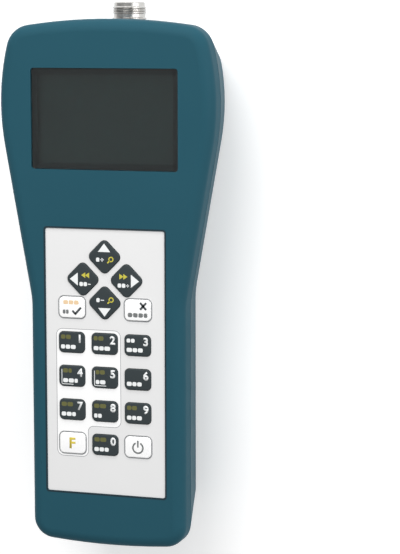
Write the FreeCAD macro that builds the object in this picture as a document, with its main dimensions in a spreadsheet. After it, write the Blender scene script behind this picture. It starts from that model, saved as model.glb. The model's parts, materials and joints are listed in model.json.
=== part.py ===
import FreeCAD, Part
import math
import os
import Sketcher
from FreeCAD import Placement, Rotation, Vector

# Handheld antenna analyzer, lying on its back: +Z comes out of the display face, +Y points at the
# connector end and X runs across. The origin is the middle of the whole length, on the table.
# Lengths are in millimetres and angles in degrees.

SIZES = [
    ("past", 1.0, "how far a cutting tool reaches past the face it opens"),
    # Housing outline and section
    ("body_length", 243.2, "foot to crest of the housing"),
    ("connector_reach", 7.6, "how far the socket stands out past the crest"),
    ("depth", 55.0, "back to display face"),
    ("front_depth", 12.0, "display face to parting line"),
    ("head_width", 103.6, "widest place, beside the display"),
    ("widest_below_crest", 38.5, "crest to the widest place"),
    ("side_arc_radius", 110.0, "bow of the head's sides"),
    ("top_arc_radius", 270.0, "bow of the connector end"),
    ("corner_radius", 12.0, "head corners"),
    ("waist_taper", 10.15, "slope of the sides from head to handle"),
    ("handle_width", 74.8, "straight handle"),
    ("waist_radius", 36.0, "hollow curve where the taper meets the handle"),
    ("foot_corner_radius", 10.0, "corners of the foot"),
    ("bottom_arc_radius", 320.0, "bow of the foot"),
    ("front_roundover", 5.5, "edge of the display face"),
    ("rear_taper", 14.2, "lean of the rear cover's walls"),
    ("rear_roundover", 10.0, "edge of the back"),
    ("rear_corner_growth", 0.0, "extra corner radius gained towards the back"),
    ("wall", 2.5, "moulded wall"),
    ("front_wall", 3.2, "wall of the display face"),
    ("cavity_corner_radius", 11.75, "rear cavity corner at the parting line"),
    ("cavity_step", 4.0, "shallow floor pocket of the rear cavity"),
    ("cavity_floor_inset", 17.0, "floor pocket edge, in from the outline"),
    ("lip_height", 1.6, "locating lip above the parting line"),
    ("lip_thickness", 1.2, "locating lip"),
    ("lip_gap", 0.15, "clearance round the lip"),
    ("parting_chamfer", 0.4, "groove that shows along the parting line"),
    # Display
    ("window_width", 70.8, "display window"),
    ("window_height", 46.1, "display window"),
    ("window_below_crest", 22.1, "crest to the window's upper edge"),
    ("window_corner", 1.5, "window corners"),
    ("window_recess", 1.0, "glass below the face"),
    ("window_thickness", 1.2, "glass"),
    ("window_ledge", 2.0, "ledge under the glass"),
    ("pane_gap", 0.15, "clearance round the glass"),
    ("gasket_thickness", 0.95, "foam frame under the ledge"),
    ("module_width", 77.0, "display module"),
    ("module_height", 55.0, "display module"),
    ("module_thickness", 5.5, "display module"),
    ("module_gap", 0.3, "clearance in the locating rib"),
    ("rib_thickness", 1.3, "locating rib round the module"),
    ("rib_depth", 3.6, "locating rib below the face wall"),
    ("ribbon_width", 24.0, "flat cable of the display"),
    ("ribbon_exit", 1.0, "display cable above the module's back"),
    ("ribbon_run", 4.0, "module to where the display cable meets the board"),
    ("ribbon_reach", 10.0, "module to the end of the display cable"),
    ("ribbon_slant", 1.3, "cable thickness measured upright where it slants"),
    ("ribbon_thickness", 0.3, "flat cable of the display"),
    # Keypad panel
    ("panel_below_window", 26.8, "window to panel"),
    ("panel_width", 57.9, "keypad recess"),
    ("panel_height", 123.1, "keypad recess"),
    ("panel_corner", 1.2, "keypad recess corners"),
    ("panel_recess", 0.4, "overlay below the face"),
    ("overlay_thickness", 0.5, "keypad overlay"),
    ("overlay_gap", 0.1, "clearance round the overlay"),
    ("arrows_below_panel_top", 23.2, "middle of the arrow cluster"),
    ("arrow_pitch", 10.6, "arrow key from the cluster's middle"),
    ("arrow_side", 12.0, "arrow key, a turned square"),
    ("arrow_corner", 2.5, "arrow key corners"),
    ("entry_below_panel_top", 36.4, "row of the tick and cross keys"),
    ("entry_spread", 16.0, "tick and cross keys from the middle"),
    ("grid_below_panel_top", 52.7, "first row of number keys"),
    ("grid_row_pitch", 15.73, "rows of number keys"),
    ("grid_column_pitch", 16.05, "columns of number keys"),
    ("grid_offset", -0.2, "middle column off the centre line"),
    ("key_width", 12.6, "number key"),
    ("key_height", 9.7, "number key"),
    ("key_corner", 2.2, "number key corners"),
    ("key_rise", 0.6, "key top above the overlay"),
    ("key_gap", 0.2, "clearance round a key"),
    ("key_travel", 0.5, "press of a key"),
    ("key_flange", 0.4, "retaining flange, out from the key"),
    ("key_flange_thickness", 1.0, "retaining flange"),
    ("flange_gap", 0.08, "flange below the face wall"),
    ("key_stem", 3.6, "square stem that meets the snap dome"),
    ("dome_side", 6.0, "four-legged snap dome"),
    ("dome_slope", 55.0, "lean of the snap dome's sides"),
    ("dome_height", 0.8, "snap dome"),
    ("dome_gap", 0.05, "stem over a dome at full travel"),
    # Main board
    ("board_below_front", 10.0, "display face to the main board"),
    ("board_thickness", 1.6, "circuit boards"),
    ("board_inset", 6.0, "main board edge, in from the outline"),
    ("post_radius", 3.0, "board posts"),
    ("board_screw_radius", 1.0, "board screw shank"),
    ("board_screw_head", 2.0, "board screw head radius"),
    ("board_screw_length", 5.0, "board screw under its head"),
    ("board_screw_cap", 1.4, "board screw head height"),
    ("screw_gap", 0.05, "clearance round a screw in its pilot"),
    ("head_post_spread", 43.5, "posts beside the display"),
    ("head_post_below_crest", 39.8, "posts beside the display"),
    ("neck_post_spread", 26.0, "posts beside the arrow keys"),
    ("neck_post_below_crest", 109.8, "posts beside the arrow keys"),
    ("foot_post_spread", 27.0, "posts below the keys"),
    ("foot_post_above_foot", 17.4, "posts below the keys"),
    ("package_corner", 0.5, "corner of a chip package"),
    ("processor_side", 14.0, "processor package"),
    ("processor_thickness", 1.4, "processor package"),
    ("radio_width", 15.0, "wireless module"),
    ("radio_length", 24.0, "wireless module"),
    ("radio_thickness", 2.6, "wireless module"),
    ("buzzer_radius", 6.0, "sounder"),
    ("buzzer_hole", 1.0, "sound hole, radius and depth"),
    ("buzzer_height", 7.0, "sounder"),
    ("parts_spread", 28.0, "wireless module and sounder from the middle"),
    # Radio-frequency board and connector
    ("connector_height", 19.0, "socket axis above the back"),
    ("seat_below_crest", 5.4, "flat seat of the socket"),
    ("seat_radius", 14.5, "collar round the socket"),
    ("seat_thickness", 3.0, "wall under the socket"),
    ("collar_length", 8.0, "collar behind the wall under the socket"),
    ("flange_space", 1.0, "clearance round the socket's flange"),
    ("socket_space", 30.0, "free length behind the socket's seat"),
    ("socket_hole_length", 10.0, "length cleared for the thread"),
    ("thread_radius", 7.94, "coupling thread, outside"),
    ("thread_gap", 0.11, "socket in its hole"),
    ("pilot_radius", 7.2, "plain nose of the socket"),
    ("pilot_length", 1.9, "plain nose of the socket"),
    ("thread_length", 3.6, "coupling thread behind the nose"),
    ("relief_radius", 7.4, "relief behind the coupling thread"),
    ("relief_length", 1.5, "relief behind the coupling thread"),
    ("mouth_radius", 4.07, "mouth of the socket"),
    ("mouth_depth", 9.0, "mouth of the socket"),
    ("flange_radius", 10.5, "inner flange of the socket"),
    ("flange_thickness", 3.0, "inner flange of the socket"),
    ("barrel_radius", 6.0, "socket body behind the flange"),
    ("barrel_length", 5.4, "socket body behind the flange"),
    ("insulator_radius", 3.2, "insulator"),
    ("insulator_gap", 0.02, "insulator and contact fits"),
    ("contact_radius", 1.5, "centre contact"),
    ("contact_bore", 0.83, "hole in the centre contact"),
    ("contact_bore_depth", 5.0, "hole in the centre contact"),
    ("contact_recess", 1.2, "contact below the socket's nose"),
    ("solder_pin_radius", 1.2, "contact tail on the board"),
    ("solder_pin_length", 6.5, "contact tail on the board"),
    ("nut_gap", 0.06, "washer and nut over the thread"),
    ("washer_radius", 11.0, "washer"),
    ("washer_thickness", 0.8, "washer"),
    ("nut_wall", 1.56, "thread to the nut's flats"),
    ("nut_thickness", 3.2, "nut"),
    ("rf_board_width", 72.0, "measuring board"),
    ("rf_board_length", 49.0, "measuring board"),
    ("rf_board_from_seat", 13.4, "socket seat to the measuring board"),
    ("rf_board_corner", 2.0, "measuring board"),
    ("rf_post_inset", 6.0, "its posts, in from its corners"),
    ("shield_width", 50.0, "shield can"),
    ("shield_length", 32.0, "shield can"),
    ("shield_height", 8.0, "shield can"),
    ("shield_wall", 0.4, "shield can"),
    ("shield_offset", 2.0, "can past the middle of the measuring board"),
    ("link_width", 30.0, "stacking header between the boards"),
    ("link_depth", 5.0, "stacking header between the boards"),
    # Case screws
    ("well_radius", 3.2, "screw well"),
    ("well_wall", 1.3, "wall of a screw well"),
    ("well_floor", 2.5, "floor of a screw well"),
    ("joint_below_parting", 6.5, "where rear wells meet front bosses"),
    ("boss_gap", 0.1, "between well and boss"),
    ("boss_radius", 3.5, "front boss"),
    ("case_screw_radius", 1.5, "case screw shank"),
    ("case_screw_head", 2.8, "case screw head radius"),
    ("case_screw_cap", 2.2, "case screw head height"),
    ("case_screw_length", 12.0, "case screw under its head"),
    ("case_hole_gap", 0.2, "case screw in its clearance hole"),
    ("top_screw_spread", 34.0, "screws at the connector end"),
    ("top_screw_below_crest", 11.8, "screws at the connector end"),
    ("neck_screw_spread", 15.0, "screws below the display"),
    ("neck_screw_below_crest", 87.8, "screws below the display"),
    ("foot_screw_spread", 14.0, "screws under the battery door"),
    ("foot_screw_above_foot", 12.9, "screws under the battery door"),
    # Batteries
    ("cell_radius", 7.25, "penlight cell"),
    ("cell_length", 49.2, "penlight cell without its cap"),
    ("cap_radius", 2.75, "positive cap"),
    ("cap_length", 1.3, "positive cap"),
    ("cell_pitch", 14.7, "cell to cell"),
    ("cell_gap", 0.4, "cell above the door"),
    ("bay_width", 47.4, "battery bay"),
    ("bay_length", 58.0, "battery bay"),
    ("bay_above_foot", 21.4, "foot to the bay"),
    ("bay_height", 18.6, "bay ceiling above the back"),
    ("bay_ceiling", 2.0, "bay ceiling"),
    ("bay_side", 3.2, "bay side wall"),
    ("bay_end", 2.3, "bay end wall"),
    ("door_gap", 0.3, "clearance round the door"),
    ("door_ledge", 2.0, "door past the bay at the upper end"),
    ("door_turn_up", 9.0, "height of the door's turned-up end"),
    ("rail_height", 3.2, "door rails above the back"),
    ("rail_thickness", 1.2, "door rails"),
    ("rail_reach", 1.2, "door rails, out from the door"),
    ("rail_root", 1.5, "foot of a door rail"),
    ("rail_gap", 0.15, "clearance above and below a rail"),
    ("rail_end_gap", 1.0, "bay end to rail end"),
    ("rail_bite", 0.5, "how deep rails and latches run into the door's plate"),
    ("latch_width", 5.0, "each latch tongue of the door"),
    ("latch_reach", 2.4, "latch tongue past the door's edge"),
    ("latch_thickness", 1.2, "latch tongue"),
    ("grip_width", 18.0, "finger grooves of the door"),
    ("grip_groove", 1.2, "finger groove"),
    ("grip_pitch", 2.6, "finger grooves"),
    ("grip_depth", 0.5, "finger grooves"),
    ("grip_from_end", 8.0, "door's end to the first groove"),
    ("leaf_thickness", 0.4, "battery contacts"),
    ("leaf_rise", 3.6, "bow of a spring contact"),
    ("leaf_half_chord", 5.2, "bow of a spring contact"),
    ("plate_width", 9.0, "battery contact"),
    ("plate_height", 11.6, "battery contact"),
    ("tab_width", 3.0, "solder tab"),
    ("lead_slot", 1.5, "slot for a solder tab in the bay's ceiling"),
    ("contact_gap", 0.1, "battery contact from the bay's end"),
    ("spring_reach", 2.0, "strip past the crown of a spring contact"),
    ("cell_end_gap", 0.2, "cell from its spring contact"),
    ("tab_rise", 4.4, "solder tab above the bay ceiling"),
    ("lead_radius", 0.8, "battery lead"),
    # Data socket
    ("usb_width", 7.7, "data socket"),
    ("usb_height", 4.0, "data socket"),
    ("usb_length", 9.5, "data socket"),
    ("usb_wall", 0.4, "data socket shell"),
    ("usb_tongue", 1.0, "data socket tongue"),
    ("usb_tongue_gap", 1.0, "tongue from the mouth and sides of the data socket"),
    ("usb_back", 1.0, "data socket's back wall"),
    ("usb_above_foot", 1.0, "mouth of the data socket"),
    ("usb_margin", 0.8, "cut-out round the data socket"),
]

doc = FreeCAD.newDocument("antenna_analyzer")
sheet = doc.addObject("Spreadsheet::Sheet", "size")
for row, (alias, value, note) in enumerate(SIZES, start=1):
    sheet.set(f"A{row}", note)
    sheet.set(f"B{row}", str(value))
    sheet.setAlias(f"B{row}", alias)
doc.recompute()

# Places that several pieces share
CREST = "(size.body_length - size.connector_reach) / 2"
FOOT = "(-(size.body_length + size.connector_reach) / 2)"
TIP = f"({CREST} + size.connector_reach)"
WIDEST = f"({CREST} - size.widest_below_crest)"
FACE = "size.depth"
PARTING = "(size.depth - size.front_depth)"
PAST_FOOT = f"{FOOT} - size.past"
UNDER_FACE = "(size.depth - size.front_wall)"
WINDOW_Y = f"({CREST} - size.window_below_crest - size.window_height / 2)"
PANEL_TOP = f"({CREST} - size.window_below_crest - size.window_height - size.panel_below_window)"
PANEL_Y = f"({PANEL_TOP} - size.panel_height / 2)"
OVERLAY_TOP = f"({FACE} - size.panel_recess)"
KEY_TOP = f"({OVERLAY_TOP} + size.key_rise)"
FLANGE_TOP = f"({UNDER_FACE} - size.flange_gap)"
BOARD_TOP = f"({FACE} - size.board_below_front)"
BOARD_LOW = f"({BOARD_TOP} - size.board_thickness)"
DOME_TOP = f"({BOARD_TOP} + size.dome_height)"
MODULE_TOP = f"({UNDER_FACE} - size.gasket_thickness)"
MODULE_LOW = f"({MODULE_TOP} - size.module_thickness)"
SEAT = f"({CREST} - size.seat_below_crest)"
RF_TOP = "(size.connector_height - size.solder_pin_radius)"
RF_LOW = f"({RF_TOP} - size.board_thickness)"
RF_Y = f"({SEAT} - size.rf_board_from_seat - size.rf_board_length / 2)"
WELL_JOINT = f"({PARTING} - size.joint_below_parting)"
WELL_TOP = f"({WELL_JOINT} - size.well_floor)"
BAY_LOW = f"({FOOT} + size.bay_above_foot)"
BAY_TOP = f"({BAY_LOW} + size.bay_length)"
BAY_ROOF = "(size.bay_height + size.bay_ceiling)"
DOOR_TOP = f"({BAY_TOP} + size.door_ledge)"
TURN_UP = f"({BAY_LOW} - size.bay_end)"
DOOR_HALF = "(size.bay_width / 2 - size.door_gap)"
CELL_Z = "(size.wall + size.cell_gap + size.cell_radius)"

# Inset of the rear wall where it runs into the roundover, and the height of that place
ROUND_TOP = "(size.rear_roundover * (1 - sin(size.rear_taper)))"
ROUND_INSET = f"(({PARTING} - {ROUND_TOP}) * tan(size.rear_taper))"
BACK_INSET = f"({ROUND_INSET} + size.rear_roundover * cos(size.rear_taper))"
ROUND_SECTIONS = 5

GRIP_GROOVES = 4
LEFT_RIGHT = (-1, 1)
CASE_SCREWS = [
    (f"{side} * size.{place}_screw_spread", height)
    for place, height in (
        ("top", f"{CREST} - size.top_screw_below_crest"),
        ("neck", f"{CREST} - size.neck_screw_below_crest"),
        ("foot", f"{FOOT} + size.foot_screw_above_foot"),
    )
    for side in LEFT_RIGHT
]
BOARD_POSTS = [
    (f"{side} * size.{place}_post_spread", height)
    for place, height in (
        ("head", f"{CREST} - size.head_post_below_crest"),
        ("neck", f"{CREST} - size.neck_post_below_crest"),
        ("foot", f"{FOOT} + size.foot_post_above_foot"),
    )
    for side in LEFT_RIGHT
]
RF_POSTS = [
    (
        f"{side} * (size.rf_board_width / 2 - size.rf_post_inset)",
        f"{RF_Y} + {end} * (size.rf_board_length / 2 - size.rf_post_inset)",
    )
    for side in LEFT_RIGHT
    for end in (-1, 1)
]

# Keys: name, X, Y and whether the key is a turned square
ARROWS_Y = f"({PANEL_TOP} - size.arrows_below_panel_top)"
ENTRY_Y = f"({PANEL_TOP} - size.entry_below_panel_top)"
KEYS = [
    ("key_up", "0", f"{ARROWS_Y} + size.arrow_pitch", True),
    ("key_down", "0", f"{ARROWS_Y} - size.arrow_pitch", True),
    ("key_left", "-size.arrow_pitch", ARROWS_Y, True),
    ("key_right", "size.arrow_pitch", ARROWS_Y, True),
    ("key_ok", "-size.entry_spread", ENTRY_Y, False),
    ("key_cancel", "size.entry_spread", ENTRY_Y, False),
]
GRID_NAMES = (("1", "2", "3"), ("4", "5", "6"), ("7", "8", "9"), ("function", "0", "power"))
for grid_row, names in enumerate(GRID_NAMES):
    for column, key_name in enumerate(names, start=-1):
        grid_x = f"size.grid_offset + {column} * size.grid_column_pitch"
        grid_y = f"{PANEL_TOP} - size.grid_below_panel_top - {grid_row} * size.grid_row_pitch"
        KEYS.append((f"key_{key_name}", grid_x, grid_y, False))

NODES = []


def number(text):
    """The present value of a text that the sheet's sizes make up."""
    return float(sheet.evalExpression(text))


def body_named(name, keep=True):
    """A new body, kept as a piece of the object unless it only helps to make one."""
    body = doc.addObject("PartDesign::Body", name)
    body.AllowCompound = True
    if keep:
        NODES.append(body)
    return body


def sketch_at(body, name, height, role="XY_Plane"):
    """A sketch on one of the body's own planes, moved out along that plane's normal."""
    sketch = body.newObject("Sketcher::SketchObject", name)
    planes = [plane for plane in body.Origin.OriginFeatures if plane.Role == role]
    sketch.AttachmentSupport = (planes[0], [""])
    sketch.MapMode = "FlatFace"
    sketch.setExpression("AttachmentOffset.Base.z", height)
    return sketch


def drive(sketch, text, *constraint):
    """Add a sized constraint and bind it to the sheet."""
    index = sketch.addConstraint(Sketcher.Constraint(*constraint, number(text)))
    sketch.setExpression(f"Constraints[{index}]", text)


def drive_angle(sketch, text, *constraint):
    """Add an angle in degrees and bind it to the sheet."""
    value = math.radians(number(text))
    index = sketch.addConstraint(Sketcher.Constraint(*constraint, value))
    sketch.setExpression(f"Constraints[{index}]", text)


def pin_point(sketch, geometry, point, x, y):
    """Hold one point of a sketch at a place that the sheet gives."""
    drive(sketch, x, "DistanceX", -1, 1, geometry, point)
    drive(sketch, y, "DistanceY", -1, 1, geometry, point)


def add_arc(sketch, centre, radius, start, end):
    circle = Part.Circle(centre, Vector(0, 0, 1), radius)
    return sketch.addGeometry(Part.ArcOfCircle(circle, start, end))


def add_line(sketch, start, end):
    return sketch.addGeometry(Part.LineSegment(start, end))


def join_tangent(sketch, first, first_end, second, second_end):
    sketch.addConstraint(Sketcher.Constraint("Tangent", first, first_end, second, second_end))


def add_circle(sketch, x, y, radius):
    centre = Vector(number(x), number(y), 0)
    circle = sketch.addGeometry(Part.Circle(centre, Vector(0, 0, 1), number(radius)))
    pin_point(sketch, circle, 3, x, y)
    drive(sketch, radius, "Radius", circle)


def add_rounded(sketch, x, y, half_width, half_height, radius, turned=False):
    """A rounded rectangle, or a rounded square standing on its corner when it is turned.

    The four corner arcs are held by their centres, and the sides between them are tangent.
    """
    if turned:
        reach = f"(({half_width}) - ({radius})) * sqrt(2)"
        spread_x, spread_y = reach, reach
        signs = ((1, 0), (0, 1), (-1, 0), (0, -1))
        first_angle = -math.pi / 4
    else:
        spread_x = f"(({half_width}) - ({radius}))"
        spread_y = f"(({half_height}) - ({radius}))"
        signs = ((1, 1), (-1, 1), (-1, -1), (1, -1))
        first_angle = 0.0
    arcs = []
    ends = []
    for quarter, (sign_x, sign_y) in enumerate(signs):
        centre_x = f"({x}) + {sign_x} * {spread_x}"
        centre_y = f"({y}) + {sign_y} * {spread_y}"
        centre = Vector(number(centre_x), number(centre_y), 0)
        start = first_angle + quarter * math.pi / 2
        end = start + math.pi / 2
        arc = add_arc(sketch, centre, number(radius), start, end)
        pin_point(sketch, arc, 3, centre_x, centre_y)
        drive(sketch, radius, "Radius", arc)
        arcs.append(arc)
        ends.append([centre + Vector(math.cos(a), math.sin(a), 0) * number(radius) for a in (start, end)])
    for quarter, arc in enumerate(arcs):
        following = (quarter + 1) % 4
        side = add_line(sketch, ends[quarter][1], ends[following][0])
        join_tangent(sketch, arc, 2, side, 1)
        join_tangent(sketch, side, 2, arcs[following], 1)


def add_profile(sketch, corners):
    """A closed outline of straight lines through corners that the sheet places."""
    points = [Vector(number(x), number(y), 0) for x, y in corners]
    lines = [add_line(sketch, start, end) for start, end in zip(points, points[1:] + points[:1])]
    for line, following in zip(lines, lines[1:] + lines[:1]):
        sketch.addConstraint(Sketcher.Constraint("Coincident", line, 2, following, 1))
    for line, (x, y) in zip(lines, corners):
        pin_point(sketch, line, 1, x, y)


def rectangle(x, y, half_width, half_height):
    """The four corners of an upright rectangle about a middle."""
    signs = ((-1, -1), (1, -1), (1, 1), (-1, 1))
    return [(f"({x}) + {across} * {half_width}", f"({y}) + {up} * {half_height}") for across, up in signs]


def mirrored(point):
    return Vector(-point.x, point.y, 0)


def bearing(point, centre):
    return math.atan2(point.y - centre.y, point.x - centre.x)


def add_outline(sketch, inset, corner, foot_corner):
    """The housing outline drawn in by an inset, all of it tangent arcs and lines.

    Each side has a corner arc, the bowed head side, the tapered side, the hollow waist, the
    straight handle and the foot's corner, between the bows of the two ends.
    """
    top_radius = f"size.top_arc_radius - ({inset})"
    side_radius = f"size.side_arc_radius - ({inset})"
    waist_radius = f"size.waist_radius + ({inset})"
    bottom_radius = f"size.bottom_arc_radius - ({inset})"
    half_handle = f"size.handle_width / 2 - ({inset})"
    side_x = "size.head_width / 2 - size.side_arc_radius"
    top_y = f"{CREST} - size.top_arc_radius"
    bottom_y = f"{FOOT} + size.bottom_arc_radius"

    top_r, side_r, waist_r, bottom_r = map(number, (top_radius, side_radius, waist_radius, bottom_radius))
    corner_r, foot_r, half = map(number, (corner, foot_corner, half_handle))
    taper = math.radians(number("size.waist_taper"))
    top = Vector(0, number(top_y), 0)
    bottom = Vector(0, number(bottom_y), 0)
    side = Vector(number(side_x), number(WIDEST), 0)

    # The corner arc touches the end bow and the side bow from inside
    between = side - top
    to_corner = top_r - corner_r
    along = (between.Length**2 + to_corner**2 - (side_r - corner_r) ** 2) / (2 * between.Length)
    across = math.sqrt(to_corner**2 - along**2)
    ahead = between * (1 / between.Length)
    corner_centre = top + ahead * along + Vector(ahead.y, -ahead.x, 0) * across
    if corner_centre.y < top.y:
        corner_centre = top + ahead * along - Vector(ahead.y, -ahead.x, 0) * across

    # The taper leaves the side bow and runs into the waist arc, which ends on the handle
    outward = Vector(math.cos(taper), -math.sin(taper), 0)
    taper_start = side + outward * side_r
    waist_x = half + waist_r
    waist_y = taper_start.y + ((waist_x - taper_start.x) * math.cos(taper) - waist_r) / math.sin(taper)
    waist = Vector(waist_x, waist_y, 0)
    taper_end = waist - outward * waist_r
    foot_y = bottom.y - math.sqrt((bottom_r - foot_r) ** 2 - (half - foot_r) ** 2)
    foot = Vector(half - foot_r, foot_y, 0)
    at_top = bearing(corner_centre, top)
    at_side = bearing(corner_centre, side)
    at_foot = bearing(foot, bottom)

    top_arc = add_arc(sketch, top, top_r, at_top, math.pi - at_top)
    bottom_arc = add_arc(sketch, bottom, bottom_r, -math.pi - at_foot, at_foot)
    right = (
        add_arc(sketch, corner_centre, corner_r, at_side, at_top),
        add_arc(sketch, side, side_r, -taper, at_side),
        add_line(sketch, taper_start, taper_end),
        add_arc(sketch, waist, waist_r, math.pi - taper, math.pi),
        add_line(sketch, Vector(half, waist_y, 0), Vector(half, foot_y, 0)),
        add_arc(sketch, foot, foot_r, at_foot, 0),
    )
    left = (
        add_arc(sketch, mirrored(corner_centre), corner_r, math.pi - at_top, math.pi - at_side),
        add_arc(sketch, mirrored(side), side_r, math.pi - at_side, math.pi + taper),
        add_line(sketch, mirrored(taper_start), mirrored(taper_end)),
        add_arc(sketch, mirrored(waist), waist_r, 0, taper),
        add_line(sketch, Vector(-half, waist_y, 0), Vector(-half, foot_y, 0)),
        add_arc(sketch, mirrored(foot), foot_r, math.pi, math.pi - at_foot),
    )
    # Which end of each arc or line meets the next, from the top arc round to the foot
    right_ends = ((1, 2), (1, 2), (1, 1), (2, 1), (2, 1), (2, 2), (1, 2))
    left_ends = ((2, 1), (2, 1), (2, 1), (2, 2), (1, 1), (2, 1), (2, 1))
    for pieces, ends in ((right, right_ends), (left, left_ends)):
        chain = (top_arc, *pieces, bottom_arc)
        for first, second, (first_end, second_end) in zip(chain, chain[1:], ends):
            join_tangent(sketch, first, first_end, second, second_end)
    for arc, radius, centre_y in ((top_arc, top_radius, top_y), (bottom_arc, bottom_radius, bottom_y)):
        sketch.addConstraint(Sketcher.Constraint("PointOnObject", arc, 3, -2))
        drive(sketch, centre_y, "DistanceY", -1, 1, arc, 3)
        drive(sketch, radius, "Radius", arc)
    for sign, pieces in ((1, right), (-1, left)):
        corner_arc, side_arc, taper_line, waist_arc, handle_line, foot_arc = pieces
        drive(sketch, corner, "Radius", corner_arc)
        drive(sketch, side_radius, "Radius", side_arc)
        pin_point(sketch, side_arc, 3, f"{sign} * ({side_x})", WIDEST)
        drive_angle(sketch, f"-90 - {sign} * size.waist_taper", "Angle", taper_line)
        drive(sketch, waist_radius, "Radius", waist_arc)
        sketch.addConstraint(Sketcher.Constraint("Vertical", handle_line))
        drive(sketch, f"{sign} * ({half_handle})", "DistanceX", -1, 1, handle_line, 1)
        drive(sketch, foot_corner, "Radius", foot_arc)


def add_true_outline(sketch, inset):
    """The outline at an even distance inside the housing's own."""
    add_outline(
        sketch, inset, f"size.corner_radius - ({inset})", f"size.foot_corner_radius - ({inset})"
    )


def feature(kind, body, name, sketch, length, backward=False):
    made = body.newObject(kind, name)
    made.Profile = sketch
    made.setExpression("Length", length)
    made.Reversed = backward
    sketch.Visibility = False
    return made


def pad(body, name, sketch, length, downward=False):
    """Add material above the sketch, or below it."""
    return feature("PartDesign::Pad", body, name, sketch, length, downward)


def pocket(body, name, sketch, length, upward=False):
    """Cut material below the sketch, or above it."""
    return feature("PartDesign::Pocket", body, name, sketch, length, upward)


def loft(body, name, sketches, ruled, kind="PartDesign::AdditiveLoft"):
    made = body.newObject(kind, name)
    made.Profile = sketches[0]
    made.Sections = sketches[1:]
    made.Ruled = ruled
    return made


def revolution(body, name, sketch):
    """Turn a sketch about its own upright axis."""
    made = body.newObject("PartDesign::Revolution", name)
    made.Profile = sketch
    made.ReferenceAxis = (sketch, ["V_Axis"])
    made.Angle = 360
    return made


def edges_where(shape, test):
    return [f"Edge{index}" for index, edge in enumerate(shape.Edges, start=1) if test(edge.BoundBox)]


def dress(kind, body, name, base, edges, size_property, size):
    """A fillet or a chamfer on named edges of the feature before it."""
    made = body.newObject(kind, name)
    made.Base = (base, edges)
    made.setExpression(size_property, size)
    return made


def place(item, x, y, z):
    for axis, text in zip("xyz", (x, y, z)):
        item.setExpression(f"Placement.Base.{axis}", text)
    return item


def box(name, half_width, low_y, high_y, low_z, high_z, middle_x="0"):
    """A block across the middle line, from low to high along Y and Z."""
    block = doc.addObject("Part::Box", name)
    block.setExpression("Length", f"2 * ({half_width})")
    block.setExpression("Width", f"({high_y}) - ({low_y})")
    block.setExpression("Height", f"({high_z}) - ({low_z})")
    return place(block, f"({middle_x}) - ({half_width})", low_y, low_z)


def rod(name, x, y, radius, low_z, high_z):
    """A cylinder standing along Z."""
    cylinder = doc.addObject("Part::Cylinder", name)
    cylinder.setExpression("Radius", radius)
    cylinder.setExpression("Height", f"({high_z}) - ({low_z})")
    return place(cylinder, x, y, low_z)


def bar(name, radius, low_y, high_y, z="size.connector_height", x="0"):
    """A cylinder lying along Y."""
    cylinder = doc.addObject("Part::Cylinder", name)
    cylinder.Placement = Placement(Vector(0, 0, 0), Rotation(Vector(1, 0, 0), -90))
    cylinder.setExpression("Radius", radius)
    cylinder.setExpression("Height", f"({high_y}) - ({low_y})")
    return place(cylinder, x, low_y, z)


def fuse(name, pieces):
    made = doc.addObject("Part::MultiFuse", name)
    made.Shapes = pieces
    return made


def cut(name, base, tool):
    made = doc.addObject("Part::Cut", name)
    made.Base = base
    made.Tool = tool
    return made


def common(name, pieces):
    made = doc.addObject("Part::MultiCommon", name)
    made.Shapes = pieces
    return made


def group(name, pieces):
    made = doc.addObject("Part::Compound", name)
    made.Links = pieces
    return made


def keep(item):
    NODES.append(item)
    return item


def circles_pad(body, name, places, radius, height, length, downward=False):
    """Equal round pegs at several places, or one peg."""
    sketch = sketch_at(body, f"{name}_circles", height)
    for x, y in places:
        add_circle(sketch, x, y, radius)
    return pad(body, name, sketch, length, downward)


def circles_pocket(body, name, places, radius, height, length, upward=False):
    """Equal round holes at several places."""
    sketch = sketch_at(body, f"{name}_circles", height)
    for x, y in places:
        add_circle(sketch, x, y, radius)
    return pocket(body, name, sketch, length, upward)


def add_key_shape(sketch, x, y, turned, grow):
    """One key's outline, grown evenly by a margin."""
    if turned:
        half = f"(size.arrow_side / 2 + ({grow}))"
        add_rounded(sketch, x, y, half, half, f"(size.arrow_corner + ({grow}))", True)
    else:
        half_width = f"(size.key_width / 2 + ({grow}))"
        half_height = f"(size.key_height / 2 + ({grow}))"
        add_rounded(sketch, x, y, half_width, half_height, f"(size.key_corner + ({grow}))")


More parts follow.
